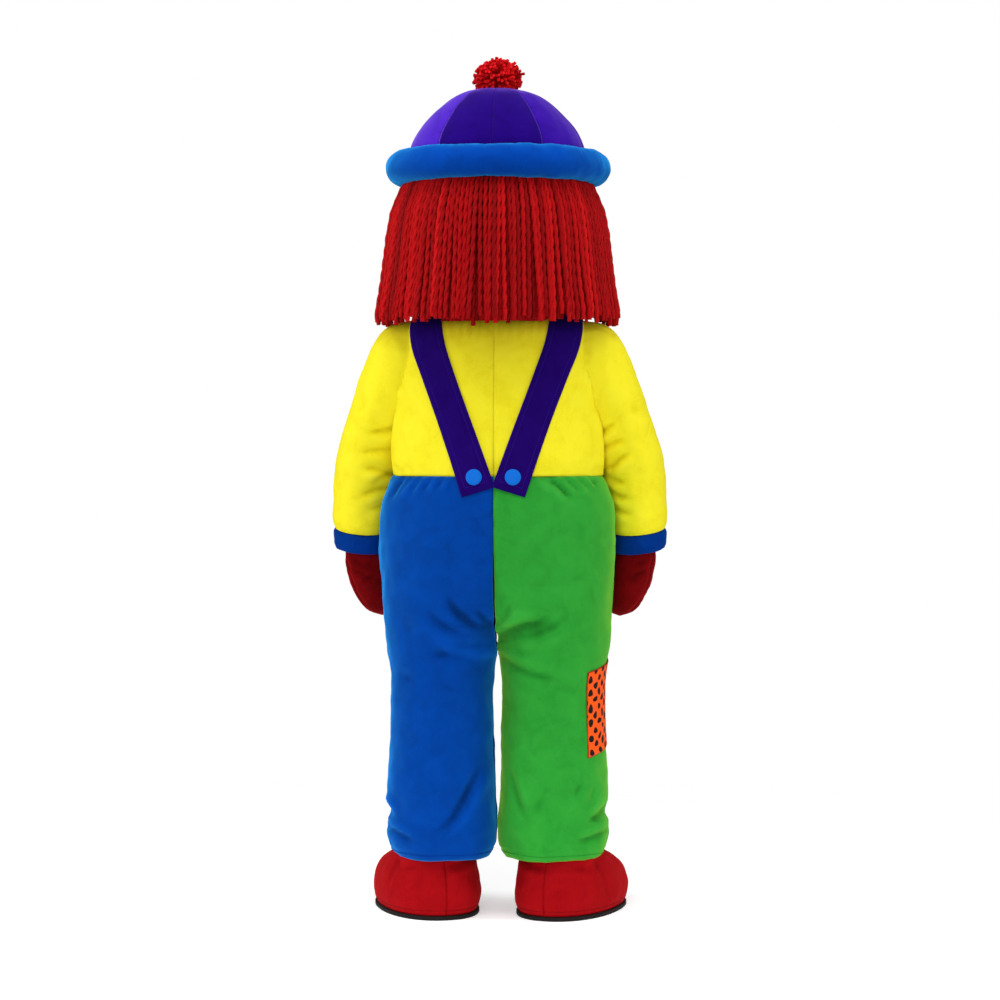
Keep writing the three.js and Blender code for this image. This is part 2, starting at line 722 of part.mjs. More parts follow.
// Strap surface: lane is the distance from its middle line, s runs from 0 at the back end
// to 1 on the ridge and 2 at the front end
function strapAt(lane, s) {
  const face = s < 1 ? -1 : 1;
  const end = s < 1 ? strapPath[0] : strapPath[2];
  const top = strapPath[1];
  const rise = Math.sin((1 - Math.abs(1 - s)) * Math.PI / 2);
  const slope = Math.atan2(top.x - end.x, top.z - end.z);
  const blend = smoothStep(0.75, 1, 1 - Math.abs(1 - s));
  const spread = lane / Math.cos(slope * (1 - blend));
  const inward = strapShoulderIn * smoothStep(0.84, 1, rise);
  const x = end.x + (top.x - end.x) * rise - inward + spread;
  const lift = -lane * Math.sin(slope) * (1 - rise);
  const low = end.z + lift;
  const ridge = ridgeHeight(Math.min(x, shoulderEdge));
  const z = low + (ridge - low) * rise;
  return new THREE.Vector3(x, strapDepth(x, z, face), z);
}

const strapStations = [...steps(0, 1, 7), ...steps(1, 2, 7).slice(1)];
function strapSolid(side, outset, edge) {
  return wallOver({
    at: mirrored(strapAt, side), us: [-edge, 0, edge], vs: strapStations, side, levelRims: false,
    wall: strapWall + strapSlack, outset: strapWall + outset,
    keep: (point) => {
      point.x = side * Math.max(point.x * side, strapApart);
      return point;
    },
  });
}

function addStrap(word, side) {
  const strap = largestBody(strapSolid(side, seamGap, strapHalfWidth).subtract(under));
  addPiece(`strap_${word}`, strap, colours.strap);
  return strapSolid(side, seamGap * 2, strapHalfWidth + strapPlugEdge);
}
const strapPlugs = addStrap('right', 1).add(addStrap('left', -1));

// Buttons, each a low dome set square to the strap under it
function addButton(name, x, z, face) {
  const rim = button.radius - button.rimWidth;
  const profile = [
    new THREE.Vector2(0, -button.sunk),
    new THREE.Vector2(button.radius, -button.sunk),
    new THREE.Vector2(button.radius, button.height * 0.5),
    new THREE.Vector2(rim, button.height * 0.8),
    new THREE.Vector2(0, button.height),
  ];
  const dome = new THREE.LatheGeometry(profile, 12);
  const step = 8;
  const slopeX = (strapDepth(x + step, z, face) - strapDepth(x - step, z, face)) / (2 * step);
  const slopeZ = (strapDepth(x, z + step, face) - strapDepth(x, z - step, face)) / (2 * step);
  const normal = new THREE.Vector3(-face * slopeX, face, -face * slopeZ).normalize();
  const spot = new THREE.Vector3(x, strapDepth(x, z, face), z);
  spot.addScaledVector(normal, strapWall + button.lift);
  const turn = new THREE.Quaternion().setFromUnitVectors(new THREE.Vector3(0, 1, 0), normal);
  dome.applyQuaternion(turn);
  dome.translate(spot.x, spot.y, spot.z);
  const solid = solidOf(dome).subtract(strapPlugs).subtract(under);
  addPiece(name, largestBody(solid), colours.button, 0.35);
}
addButton('button_back_right', button.backX, button.backZ, -1);
addButton('button_back_left', -button.backX, button.backZ, -1);
addButton('button_front_right', button.frontX, button.frontZ, 1);
addButton('button_front_left', -button.frontX, button.frontZ, 1);

// Patch
const patchAt = (angle, f) => {
  const tilt = patch.rise * (angle - patch.rearAngle) / (patch.frontAngle - patch.rearAngle);
  const z = patch.low + (patch.high - patch.low) * f + tilt;
  const face = angle < 0 ? -1 : 1;
  return legPoint(face, 1 - Math.abs(angle) / 180, z);
};
const patchSolid = wallOver({
  at: patchAt, us: steps(patch.rearAngle, patch.frontAngle, 6), vs: steps(0, 1, 4),
  wall: 3 * patchWall, outset: patchWall + seamGap, levelRims: false,
});
addPiece('patch', largestBody(patchSolid.subtract(under)), colours.orange);

// Head shell, resting on the shoulders
const headAt = (angle, z) => sectionPoint(readTable(headSections, 'z', z), angle, headRoundness);
const headLevels = headSections.map((row) => row.z);
const faceAngles = steps(90 - faceHalfAngle, 90 + faceHalfAngle, 8);
const napeAngles = steps(90 + faceHalfAngle, 450 - faceHalfAngle, 13);
const portCutters = (shrink) => [1, -1].map((side) => {
  const cylinder = new THREE.CylinderGeometry(1, 1, visionPort.cut, 12);
  cylinder.scale(visionPort.halfWidth - shrink, 1, visionPort.halfHeight - shrink);
  cylinder.translate(side * visionPort.x, visionPort.cut, visionPort.z);
  return solidOf(cylinder);
});
const [rightPort, leftPort] = portCutters(0);
const facePanel = wallOver({
  at: headAt, us: faceAngles, vs: headLevels, wall: headWall, seams: 'start end', levelRims: false,
});
const restsOn = topPlug.add(strapPlugs);
const face = facePanel.subtract(restsOn).subtract(rightPort).subtract(leftPort);
addPiece('head_face', largestBody(face), colours.pale);
const nape = wallOver({
  at: headAt, us: napeAngles, vs: headLevels, wall: headWall, seams: 'start end', levelRims: false,
});
addPiece('head_back', largestBody(nape.subtract(restsOn)), colours.red);
const meshSheet = wallOver({
  at: headAt, us: faceAngles, vs: headLevels, wall: visionPort.wall, outset: -visionPort.sunk,
  levelRims: false,
});
portCutters(seamGap).forEach((cutter, i) => {
  const mesh = largestBody(meshSheet.intersect(cutter));
  addPiece(`vision_mesh_${i === 0 ? 'right' : 'left'}`, mesh, colours.mesh);
});

// Hat: padded roll brim and eight crown gores
const brimRoll = new THREE.TorusGeometry(brim.radius, brim.tube, brim.section, brim.around);
brimRoll.translate(0, 0, brim.z);
addPiece('brim', solidOf(brimRoll), colours.brimBlue);

const crownStations = crownSections.map((row) => row.s);
const fullTurn = 360;
crownSeams.forEach((start, i) => {
  const next = i + 1 < crownSeams.length ? crownSeams[i + 1] : crownSeams[0] + fullTurn;
  const goreAt = (angle, s) => {
    const row = readTable(crownSections, 's', s);
    const across = (angle - start) / (next - start);
    const puff = crownPuff * Math.sin(Math.PI * Math.min(Math.max(across, 0), 1));
    const radius = row.radius + puff * Math.min(row.radius / 100, 1);
    const x = radius * Math.cos(angle * degrees);
    return new THREE.Vector3(x, radius * Math.sin(angle * degrees), row.z);
  };
  const gore = wallOver({
    at: goreAt, us: steps(start, next, 3), vs: crownStations, wall: crownWall,
    seams: 'start end',
  });
  addPiece(`crown_gore_${i + 1}`, gore, colours.purple);
});

// Pompom: yarn ends round a small core, cut off where they meet the crown
const crownPlug = wallOver({
  at: (angle, s) => {
    const row = readTable(crownSections, 's', s);
    const radius = row.radius + crownPuff;
    const x = radius * Math.cos(angle * degrees);
    return new THREE.Vector3(x, radius * Math.sin(angle * degrees), row.z);
  },
  us: steps(0, fullTurn, 32).slice(0, -1), vs: crownStations, wall: 0, tube: true, filled: true,
  outset: seamGap,
});
const goldenTurn = Math.PI * (3 - Math.sqrt(5));
const pompomPieces = [solidOf(new THREE.IcosahedronGeometry(pompom.core, 0).translate(0, 0, pompom.z))];
for (let i = 0; i < pompom.strands; i += 1) {
  const up = 1 - (1 - pompom.lowest) * (i + 0.5) / pompom.strands;
  const out = Math.sqrt(1 - up * up);
  const aim = new THREE.Vector3(Math.cos(i * goldenTurn) * out, Math.sin(i * goldenTurn) * out, up);
  const reach = pompom.radius / Math.hypot(out, up * pompom.radius / pompom.height);
  const root = pompom.core * 0.8;
  const strand = new THREE.CylinderGeometry(pompom.strandTip, pompom.strandRoot, reach - root, 3);
  strand.translate(0, (reach + root) / 2, 0);
  strand.applyQuaternion(new THREE.Quaternion().setFromUnitVectors(new THREE.Vector3(0, 1, 0), aim));
  strand.translate(0, 0, pompom.z);
  pompomPieces.push(solidOf(strand));
}
const pompomSolid = wasm.Manifold.union(pompomPieces).subtract(crownPlug);
addPiece('pompom', largestBody(pompomSolid), colours.red, 1);

// Wig
const stripAngles = steps(-90 - wig.halfAngle, -90 + wig.halfAngle, 20);
const strip = wallOver({
  at: (angle, z) => {
    const x = wigStrip.outer * Math.cos(angle * degrees);
    return new THREE.Vector3(x, wigStrip.outer * Math.sin(angle * degrees), z);
  },
  us: stripAngles, vs: [wigStrip.low, wigStrip.high], wall: wigStrip.outer - wigStrip.inner,
});

// One three-sided lock of yarn at an angle round the head
function lockSolid(angle, inward, uneven) {
  const side = Math.abs(Math.cos(angle * degrees));
  const out = new THREE.Vector3(Math.cos(angle * degrees), Math.sin(angle * degrees), 0);
  const across = new THREE.Vector3(-out.y, out.x, 0);
  const at = (turn, s) => {
    const row = lockPath[s];
    const rise = s === lockPath.length - 1 ? lockRiseAtSides * side + uneven : 0;
    const point = out.clone().multiplyScalar(row.radius - inward);
    point.z = row.z + rise;
    return point.addScaledVector(out, row.thickness * Math.cos(turn))
      .addScaledVector(across, row.thickness * Math.sin(turn));
  };
  const points = [];
  const triangles = [];
  const corners = [0, 120, 240].map((turn) => turn * degrees);
  lockPath.forEach((_, s) => corners.forEach((turn) => points.push(at(turn, s))));
  for (let s = 0; s < lockPath.length - 1; s += 1) {
    for (let j = 0; j < 3; j += 1) {
      const a = s * 3 + j;
      const b = s * 3 + (j + 1) % 3;
      triangles.push([a, b + 3, b]);
      triangles.push([a, a + 3, b + 3]);
    }
  }
  const end = (lockPath.length - 1) * 3;
  triangles.push([0, 1, 2]);
  triangles.push([end, end + 2, end + 1]);
  return solidFrom(points, triangles);
}

const wigPieces = [strip];
for (const [count, inward] of [[wig.outerLocks, 0], [wig.innerLocks, wig.layerStep]]) {
  for (let i = 0; i < count; i += 1) {
    const angle = -90 - wig.halfAngle + 2 * wig.halfAngle * (i + 0.5) / count;
    const uneven = lockUneven * Math.sin(i * lockUnevenTurn + inward);
    wigPieces.push(lockSolid(angle, inward, uneven));
  }
}
addPiece('wig', wasm.Manifold.union(wigPieces), colours.yarn, 1);

// The origin is on the floor under the middle of the whole costume
const reach = new THREE.Box3().setFromObject(costume);
costume.position.y = -(reach.min.y + reach.max.y) / 2;
costume.position.x = -(reach.min.x + reach.max.x) / 2;

const group = new THREE.Group();
group.add(costume);
group.updateMatrixWorld(true);
export default group;
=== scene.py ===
# A clown costume in plush and yarn, filled out and standing on its soles, seen from behind.
# Sizes are millimetres in the costume's own frame until a mesh is made.
import json
import math
import bpy
import numpy as np
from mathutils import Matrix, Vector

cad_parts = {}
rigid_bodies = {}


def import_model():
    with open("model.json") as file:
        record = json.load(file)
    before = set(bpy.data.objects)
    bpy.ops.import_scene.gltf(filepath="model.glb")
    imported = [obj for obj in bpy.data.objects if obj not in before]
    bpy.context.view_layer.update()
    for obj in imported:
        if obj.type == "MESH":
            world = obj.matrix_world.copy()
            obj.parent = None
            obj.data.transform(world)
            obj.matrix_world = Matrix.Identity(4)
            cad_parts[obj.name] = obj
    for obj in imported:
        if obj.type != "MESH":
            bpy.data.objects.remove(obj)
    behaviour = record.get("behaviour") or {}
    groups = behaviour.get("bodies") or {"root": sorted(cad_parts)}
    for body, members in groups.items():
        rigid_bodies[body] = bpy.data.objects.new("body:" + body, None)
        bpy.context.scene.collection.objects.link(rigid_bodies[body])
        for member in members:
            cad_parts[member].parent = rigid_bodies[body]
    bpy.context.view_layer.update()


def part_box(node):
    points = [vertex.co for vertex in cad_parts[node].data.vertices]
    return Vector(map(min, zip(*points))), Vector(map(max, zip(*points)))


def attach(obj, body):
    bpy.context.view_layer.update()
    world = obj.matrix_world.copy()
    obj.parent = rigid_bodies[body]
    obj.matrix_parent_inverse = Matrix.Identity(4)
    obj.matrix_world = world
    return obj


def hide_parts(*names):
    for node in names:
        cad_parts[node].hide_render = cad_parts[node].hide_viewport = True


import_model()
scene = bpy.context.scene
scene.view_settings.view_transform = "Standard"

mm = 0.001
brimLow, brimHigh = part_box("brim")
costumeShift = np.array([0.0, 0.5 * (brimLow[1] + brimHigh[1]) / mm, 0.0])


# A table of sections: the columns' names, then one tuple for each row
def rows(columns, *values):
    data = np.array(values, float)
    return {name: data[:, i] for i, name in enumerate(columns.split())}


# Reads a table smoothly between its rows, at many places at once
def readTable(table, by, at):
    keys = table[by]
    turn = 1 if keys[0] < keys[-1] else -1
    keys, place, last = keys * turn, np.asarray(at, float) * turn, len(keys) - 1
    i = np.clip(np.searchsorted(keys, place, side="left") - 1, 0, last - 1)
    before, after = np.maximum(i - 1, 0), np.minimum(i + 2, last)
    span = keys[i + 1] - keys[i]
    f = np.clip((place - keys[i]) / span, 0, 1)
    f2, f3 = f * f, f ** 3
    row = {}
    for name, column in table.items():
        startSlope = (column[i + 1] - column[before]) / (keys[i + 1] - keys[before]) * span
        endSlope = (column[after] - column[i]) / (keys[after] - keys[i]) * span
        row[name] = ((2 * f3 - 3 * f2 + 1) * column[i] + (f3 - 2 * f2 + f) * startSlope
                     + (3 * f2 - 2 * f3) * column[i + 1] + (f3 - f2) * endSlope)
    return row


def smoothStep(low, high, value):
    f = np.clip((np.asarray(value, float) - low) / (high - low), 0, 1)
    return f * f * (3 - 2 * f)


def hump(distance, width):
    return np.exp(-(distance / width) ** 2)


def signedPower(value, power):
    return np.sign(value) * np.abs(value) ** power


def cosine(angle):
    return np.cos(np.radians(angle))


def sine(angle):
    return np.sin(np.radians(angle))


def stack(x, y, z):
    return np.stack(np.broadcast_arrays(x, y, z), axis=-1).astype(float)


def unit(vectors):
    return vectors / np.maximum(np.linalg.norm(vectors, axis=-1, keepdims=True), 1e-9)


# Point on a rounded section: angle 0 is the right side, 90 the front, -90 the back
def sectionPoint(row, angle, power):
    c, s = signedPower(cosine(angle), 2 / power), signedPower(sine(angle), 2 / power)
    depth = np.where(s < 0, row["back"], row["front"])
    return stack(row.get("centre", 0) + row["halfWidth"] * c, depth * s, row["z"])


# Soft lumps of cloth and stuffing: a few crossing waves, the same at each run
def lumps(points, wavelength, seed, squash=(1, 1, 1)):
    random = np.random.default_rng(seed)
    total = np.zeros(points.shape[:-1])
    for _ in range(7):
        aim = random.normal(size=3) * np.array(squash)
        aim /= np.linalg.norm(aim)
        length = wavelength * random.uniform(0.7, 1.5)
        total += np.sin(points @ aim * 2 * math.pi / length + random.uniform(0, 6.3))
    return total / 3.2


def roundedPath(path):
    path = np.array(path, float)
    for _ in range(2):
        near, far = 0.75 * path[:-1] + 0.25 * path[1:], 0.25 * path[:-1] + 0.75 * path[1:]
        middle = np.stack([near, far], axis=1).reshape(-1, 2)
        path = np.concatenate([path[:1], middle, path[-1:]])
    return path


# Height added by creases that are given on the plane (x, z). Each is a trough along its
# path with a soft ridge beside it. ridge is a share of the depth and its sign says the side; an
# open crease starts at full depth, where it runs into a seam.
def creaseRelief(x, z, creases):
    total = np.zeros(np.shape(x))
    for path, depth, width, ridge, isOpen in creases:
        path = roundedPath(path)
        lengths = np.hypot(*np.diff(path, axis=0).T)
        done, best = 0.0, np.full(np.shape(x), 1e9)
        signed, along = np.zeros(np.shape(x)), np.zeros(np.shape(x))
        for (ax, az), (bx, bz), length in zip(path[:-1], path[1:], lengths):
            dx, dz = (bx - ax) / length, (bz - az) / length
            t = np.clip((x - ax) * dx + (z - az) * dz, 0, length)
            px, pz = x - ax - dx * t, z - az - dz * t
            distance = np.hypot(px, pz)
            closer = distance < best
            best = np.where(closer, distance, best)
            signed = np.where(closer, distance * np.where(dx * pz - dz * px < 0, -1, 1), signed)
            along = np.where(closer, (done + t) / lengths.sum(), along)
            done += length
        fade = smoothStep(0, 0.5, 1 - along) * (1 if isOpen else smoothStep(0, 0.35, along))
        side = 1 if ridge > 0 else -1
        shoulder = abs(ridge) * hump(signed - side * 1.9 * width, 1.3 * width)
        total += depth * fade * (shoulder - hump(signed, width))
    return total


def mirrorCreases(creases, dx=0.0, dz=0.0):
    return [([(-x + dx, z + dz) for x, z in path], depth, width, -ridge, isOpen)
            for path, depth, width, ridge, isOpen in creases]


# Materials
def linear(colour):
    values = [int(colour[i:i + 2], 16) / 255 for i in (1, 3, 5)]
    return [v / 12.92 if v <= 0.04045 else ((v + 0.055) / 1.055) ** 2.4 for v in values] + [1.0]


def addNode(tree, kind, inputs=None, **settings):
    node = tree.nodes.new(kind)
    for name, value in settings.items():
        setattr(node, name, value)
    for name, value in (inputs or {}).items():
        if isinstance(value, bpy.types.NodeSocket):
            tree.links.new(value, node.inputs[name])
        else:
            node.inputs[name].default_value = value
    return node


def newMaterial(name):
    material = bpy.data.materials.new(name)
    material.use_nodes = True
    material.node_tree.nodes.clear()
    return material, material.node_tree


def addRamp(tree, factor, *stops):
    ramp = addNode(tree, "ShaderNodeValToRGB", {"Fac": factor})
    elements = ramp.color_ramp.elements
    while len(elements) < len(stops):
        elements.new(1.0)
    for element, (place, colour) in zip(elements, stops):
        element.position, element.color = place, linear(colour)
    return ramp.outputs["Color"]


def finishMaterial(tree, surface):
    addNode(tree, "ShaderNodeOutputMaterial", {"Surface": surface.outputs["BSDF"]})


# Velboa: knitted polyester with a dense pile of 2 to 3 mm, brushed. It gives the eye an even, deep
# colour and a paler bloom where the pile is seen from the side. Crease troughs get painted shade and
# ridges painted light, partly also the pile flattened there. The attribute "foldShade" holds this
# from the creases' height, from -1 in a trough to 1 on a ridge.
plushLook = {
    "brushed": 46.0,      # mm across a patch where the pile lies one way
    "nap": 3.4,           # mm between tufts; the real 1 mm is too fine to show
    "wrinkle": 18.0,      # mm, the knit's own small unevenness
    "napDepth": 0.5, "wrinkleDepth": 0.7, "roughness": 0.92,
    "brushedShare": 0.34, "napShare": 0.16, "foldShadeShare": 0.24,
}


# A hex colour made darker: the painted shade of a crease trough, where the pile also lies flattened
def creaseShaded(colour, share):
    return "#" + "".join(f"{int(int(colour[i:i + 2], 16) * share):02x}" for i in (1, 3, 5))


def velboa(name, deep, body, bright, bloom, sheen=0.45, sheenRoughness=0.42, creaseShadeColour=None):
    material, tree = newMaterial(name)
    place = addNode(tree, "ShaderNodeTexCoord").outputs["Object"]
    patches = addNode(tree, "ShaderNodeTexNoise", {
        "Vector": place, "Scale": 1 / (plushLook["brushed"] * mm), "Detail": 4.0,
        "Roughness": 0.62, "Distortion": 0.5})
    nap = addNode(tree, "ShaderNodeTexNoise", {
        "Vector": place, "Scale": 1 / (plushLook["nap"] * mm), "Detail": 3.0, "Roughness": 0.7})
    wrinkle = addNode(tree, "ShaderNodeTexNoise", {
        "Vector": place, "Scale": 1 / (plushLook["wrinkle"] * mm), "Detail": 2.0})
    # Painted shade in crease troughs and painted light on ridges, read from the points
    foldShade = addNode(tree, "ShaderNodeAttribute", attribute_name="foldShade")
    tone = 0.5 - 0.5 * (plushLook["brushedShare"] + plushLook["napShare"])
    for source, share in ((patches, "brushedShare"), (nap, "napShare"), (foldShade, "foldShadeShare")):
        tone = addNode(tree, "ShaderNodeMath", {
            0: source.outputs["Fac"], 1: plushLook[share], 2: tone}, operation="MULTIPLY_ADD").outputs[0]
    # The ramp's lowest stop is the painted shade of crease troughs
    colour = addRamp(tree, tone, (0.18, creaseShadeColour or creaseShaded(deep, 0.68)),
                    (0.4, deep), (0.5, body), (0.66, bright))
    soft = addNode(tree, "ShaderNodeBump", {
        "Height": wrinkle.outputs["Fac"], "Strength": 0.5,
        "Distance": plushLook["wrinkleDepth"] * mm})
    tufts = addNode(tree, "ShaderNodeBump", {
        "Height": nap.outputs["Fac"], "Strength": 0.55, "Distance": plushLook["napDepth"] * mm,
        "Normal": soft.outputs["Normal"]})
    shader = addNode(tree, "ShaderNodeBsdfPrincipled", {
        "Base Color": colour, "Roughness": plushLook["roughness"], "Specular IOR Level": 0.04,
        "IOR": 1.5, "Sheen Weight": sheen, "Sheen Roughness": sheenRoughness,
        "Sheen Tint": linear(bloom), "Normal": tufts.outputs["Normal"]})
    finishMaterial(tree, shader)
    return material


# The yellow's crease troughs take a paler painted shade of their own
yellowVelboa = velboa("velboaYellow", "#ebdb1c", "#f5e828", "#f9ee36", "#ffe11a", 0.1,
                      creaseShadeColour="#c2b00c")
blueVelboa = velboa("velboaBlue", "#003688", "#003d98", "#0045a8", "#30a8ff", 1.0, 0.42)
greenVelboa = velboa("velboaGreen", "#238c2d", "#2b9933", "#34a43a", "#b0ff50", 0.6, 0.42)
violetVelboa = velboa("velboaViolet", "#190060", "#1e016e", "#26057c", "#9a70ff", 0.5, 0.36)
# Paler copies of the violet for two gores: painted light on the crown's right and brighter left sides,
# partly also the pile lying another way
violetPaintedLightRight = velboa("velboaVioletPaintedLightRight", "#270680", "#300a90", "#3c14a2", "#a880ff", 0.6, 0.36)
violetPaintedLightLeft = velboa("velboaVioletPaintedLightLeft", "#3a16a0", "#4820b4", "#552cc2", "#b090ff", 0.6, 0.36)
brimVelboa = velboa("velboaBrimBlue", "#003590", "#003d9e", "#0046ae", "#30b0ff", 1.0, 0.42)
cuffVelboa = velboa("velboaCuffBlue", "#002a74", "#003080", "#00388c", "#0068e0", 0.3)
strapVelboa = velboa("velboaStrapViolet", "#1a0058", "#1e0362", "#25066e", "#5530d8", 0.3)
redVelboa = velboa("velboaRed", "#90060d", "#9d0911", "#aa0e15", "#ff2020", 0.25)
mittenVelboa = velboa("velboaMittenRed", "#5c0306", "#6e0509", "#7c070c", "#ff2828", 0.4)
paleVelboa = velboa("velboaPale", "#dcb491", "#e6c09e", "#efccac", "#fff0dc", 0.2)


# Smooth plastic of a cast button: one clear soft highlight on a flat colour
def plastic(name, colour, roughness):
    material, tree = newMaterial(name)
    shader = addNode(tree, "ShaderNodeBsdfPrincipled", {
        "Base Color": linear(colour), "Roughness": roughness, "Specular IOR Level": 0.12})
    finishMaterial(tree, shader)
    return material


buttonPlastic = plastic("blueCastPlastic", "#006cd6", 0.55)

# EVA foam sheet of the soles: dull black with a slightly pebbled skin
soleFoam, soleTree = newMaterial("blackEvaFoam")
soleGrain = addNode(soleTree, "ShaderNodeTexNoise", {
    "Vector": addNode(soleTree, "ShaderNodeTexCoord").outputs["Object"],
    "Scale": 1 / (2.5 * mm), "Detail": 3.0})
soleBump = addNode(soleTree, "ShaderNodeBump", {
    "Height": soleGrain.outputs["Fac"], "Strength": 0.4, "Distance": 0.4 * mm})
finishMaterial(soleTree, addNode(soleTree, "ShaderNodeBsdfPrincipled", {
    "Base Color": linear("#151110"), "Roughness": 0.78, "Specular IOR Level": 0.2,
    "Normal": soleBump.outputs["Normal"]}))

# Net of the eye ports: dark polyester mesh, with the fine lattice as colour and relief
visionNet, netTree = newMaterial("blackPolyesterNet")
netPlace = addNode(netTree, "ShaderNodeTexCoord").outputs["Object"]
netLattice = addNode(netTree, "ShaderNodeTexVoronoi", {
    "Vector": netPlace, "Scale": 1 / (2.2 * mm), "Randomness": 0.0})
netColour = addRamp(netTree, netLattice.outputs["Distance"], (0.25, "#0b0a0a"), (0.5, "#3a3433"))
netBump = addNode(netTree, "ShaderNodeBump", {
    "Height": netLattice.outputs["Distance"], "Strength": 0.6, "Distance": 0.5 * mm})
finishMaterial(netTree, addNode(netTree, "ShaderNodeBsdfPrincipled", {
    "Base Color": netColour, "Roughness": 0.8, "Normal": netBump.outputs["Normal"]}))

# Cloth pieces. A wall is one fine layer on the piece's surface, thickened by a live Solidify.
# Sewn edges draw back by half a gap and are pulled in sideways to a soft dip.
seam = {"gap": 0.3, "dip": 2.6, "soft": 6.0}


# The stuffed body lifts the waist, forearms and cuffs by a few mm, and the rest less and less
settle = {"lift": 8, "below": (700, 850), "above": (1300, 1060)}


def settled(points):
    points = np.array(points, float)
    z = points[..., 2]
    lift = settle["lift"] * smoothStep(*settle["below"], z) * smoothStep(*settle["above"], z)
    points[..., 2] = z + lift
    return (points + costumeShift) * mm


def meshObject(name, points, faces, material):
    mesh = bpy.data.meshes.new(name)
    mesh.from_pydata(settled(points).tolist(), [], faces)
    mesh.validate()
    mesh.materials.append(material)
    mesh.shade_smooth()
    obj = bpy.data.objects.new(name, mesh)
    scene.collection.objects.link(obj)
    return obj


# Outward normals of a grid (level, column) of a piece that bulges outwards everywhere
def gridNormals(points, closed):
    if closed:
        alongU = np.roll(points, -1, axis=1) - np.roll(points, 1, axis=1)
    else:
        alongU = np.gradient(points, axis=1)
    normals = unit(np.cross(alongU, np.gradient(points, axis=0)))
    away = points - points.reshape(-1, 3).mean(axis=0)
    turn = 1 if (normals * away).sum() > 0 else -1
    return normals * turn, turn


# Distance of each grid point to the nearest of some places in space
def distanceTo(points, places):
    flat, best = points.reshape(-1, 3), np.full(points.shape[:-1], 1e9).ravel()
    for start in range(0, len(flat), 2000):
        part = flat[start:start + 2000]
        gaps = np.linalg.norm(part[:, None, :] - places[None, :, :], axis=2)
        best[start:start + 2000] = gaps.min(axis=1)
    return best.reshape(points.shape[:-1])


# Distance along the cloth to the named edges of a grid
def edgeDistance(points, edges):
    down = np.linalg.norm(np.diff(points, axis=0), axis=2)
    across = np.linalg.norm(np.diff(points, axis=1), axis=2)
    fromLow = np.concatenate([np.zeros((1, points.shape[1])), np.cumsum(down, axis=0)])
    fromStart = np.concatenate([np.zeros((points.shape[0], 1)), np.cumsum(across, axis=1)], axis=1)
    choices = {"low": fromLow, "high": fromLow[-1:] - fromLow,
               "start": fromStart, "end": fromStart[:, -1:] - fromStart}
    return np.min([choices[edge] for edge in edges.split()], axis=0)


def seamDip(distance, depth=None):
    return -(depth or seam["dip"]) * hump(distance, seam["soft"])


# Draws the named edges of a grid back by half a seam gap
def drawEdges(points, edges):
    drawn = points.copy()
    for edge, at, after in (("low", np.s_[0], np.s_[1]), ("high", np.s_[-1], np.s_[-2]),
                            ("start", np.s_[:, 0], np.s_[:, 1]), ("end", np.s_[:, -1], np.s_[:, -2])):
        if edge in edges.split():
            drawn[at] += unit(points[after] - points[at]) * seam["gap"] / 2
    return drawn


# Faces of a grid. hidden marks points that lie inside a neighbour; faces with none shown go.
def gridFaces(levels, columns, closed, turn, hidden=None):
    a = np.arange(levels * columns).reshape(levels, columns)
    right = np.roll(a, -1, axis=1) if closed else a[:, 1:]
    left = a if closed else a[:, :-1]
    quads = np.stack([left[:-1], right[:-1], right[1:], left[1:]], axis=-1).reshape(-1, 4)
    if hidden is not None:
        quads = quads[~hidden.ravel()[quads].all(axis=1)]
    return (quads if turn > 0 else quads[:, ::-1]).tolist()


# Moves the hidden points that touch a shown face onto the cut line
def snapToCut(points, hidden, cut):
    shown = ~hidden
    near = np.zeros_like(hidden)
    for down in (-1, 0, 1):
        for across in (-1, 0, 1):
            near |= np.roll(np.roll(shown, down, axis=0), across, axis=1)
    border = np.argwhere(hidden & near)
    for i, j in border:
        gaps = np.linalg.norm(cut - points[i, j], axis=1)
        points[i, j] = cut[gaps.argmin()]
    return points


# The finished surface of each wall, for what is sewn on it
surfaces = {}

# Crease height in mm where the painted crease shade and light start, and how much more makes them full
foldStart, foldFull = 1.4, 5.0


def clothWall(name, points, material, wall, closed=False, sewn="", relief=0.0, folds=0.0,
              hidden=None, cut=None, snap=True, pole=False, dip=None):
    normals, turn = gridNormals(points, closed)
    height = np.zeros(points.shape[:-1]) + relief
    drawnIn = np.zeros(points.shape[:-1])
    if sewn:
        drawnIn += seamDip(edgeDistance(points, sewn), dip)
        points = drawEdges(points, sewn)
    if cut is not None:
        drawnIn += seamDip(distanceTo(points, cut), dip)
        if snap:
            points = snapToCut(points.copy(), hidden, cut)
    sideways = normals * (1.0, 1.0, 0.0)
    points = points + normals * height[..., None] + sideways * drawnIn[..., None]
    surfaces[name] = (points, normals)
    folds = np.zeros(height.shape) + folds
    # Painted shade in crease troughs and painted light on ridges, kept on the points for the materials
    shade = (np.sign(folds) * np.clip((np.abs(folds) - foldStart) / foldFull, 0, 1)).ravel()
    faces = gridFaces(*points.shape[:2], closed, turn, hidden)
    flat = points.reshape(-1, 3)
    if pole:
        columns = points.shape[1]
        first, tip = len(flat) - columns, len(flat)
        flat = np.concatenate([flat, points[-1].mean(axis=0)[None]])
        shade = np.append(shade, 0.0)
        for j in range(columns):
            corner = [first + j, first + (j + 1) % columns, tip]
            faces.append(corner if turn > 0 else corner[::-1])
    obj = meshObject(name, flat, faces, material)
    obj.data.attributes.new("foldShade", "FLOAT", "POINT").data.foreach_set("value", shade.astype(np.float32))
    if wall:
        thicken = obj.modifiers.new("cloth", "SOLIDIFY")
        thicken.thickness, thicken.offset = wall * mm, -1.0
        thicken.use_even_offset = False
    return obj


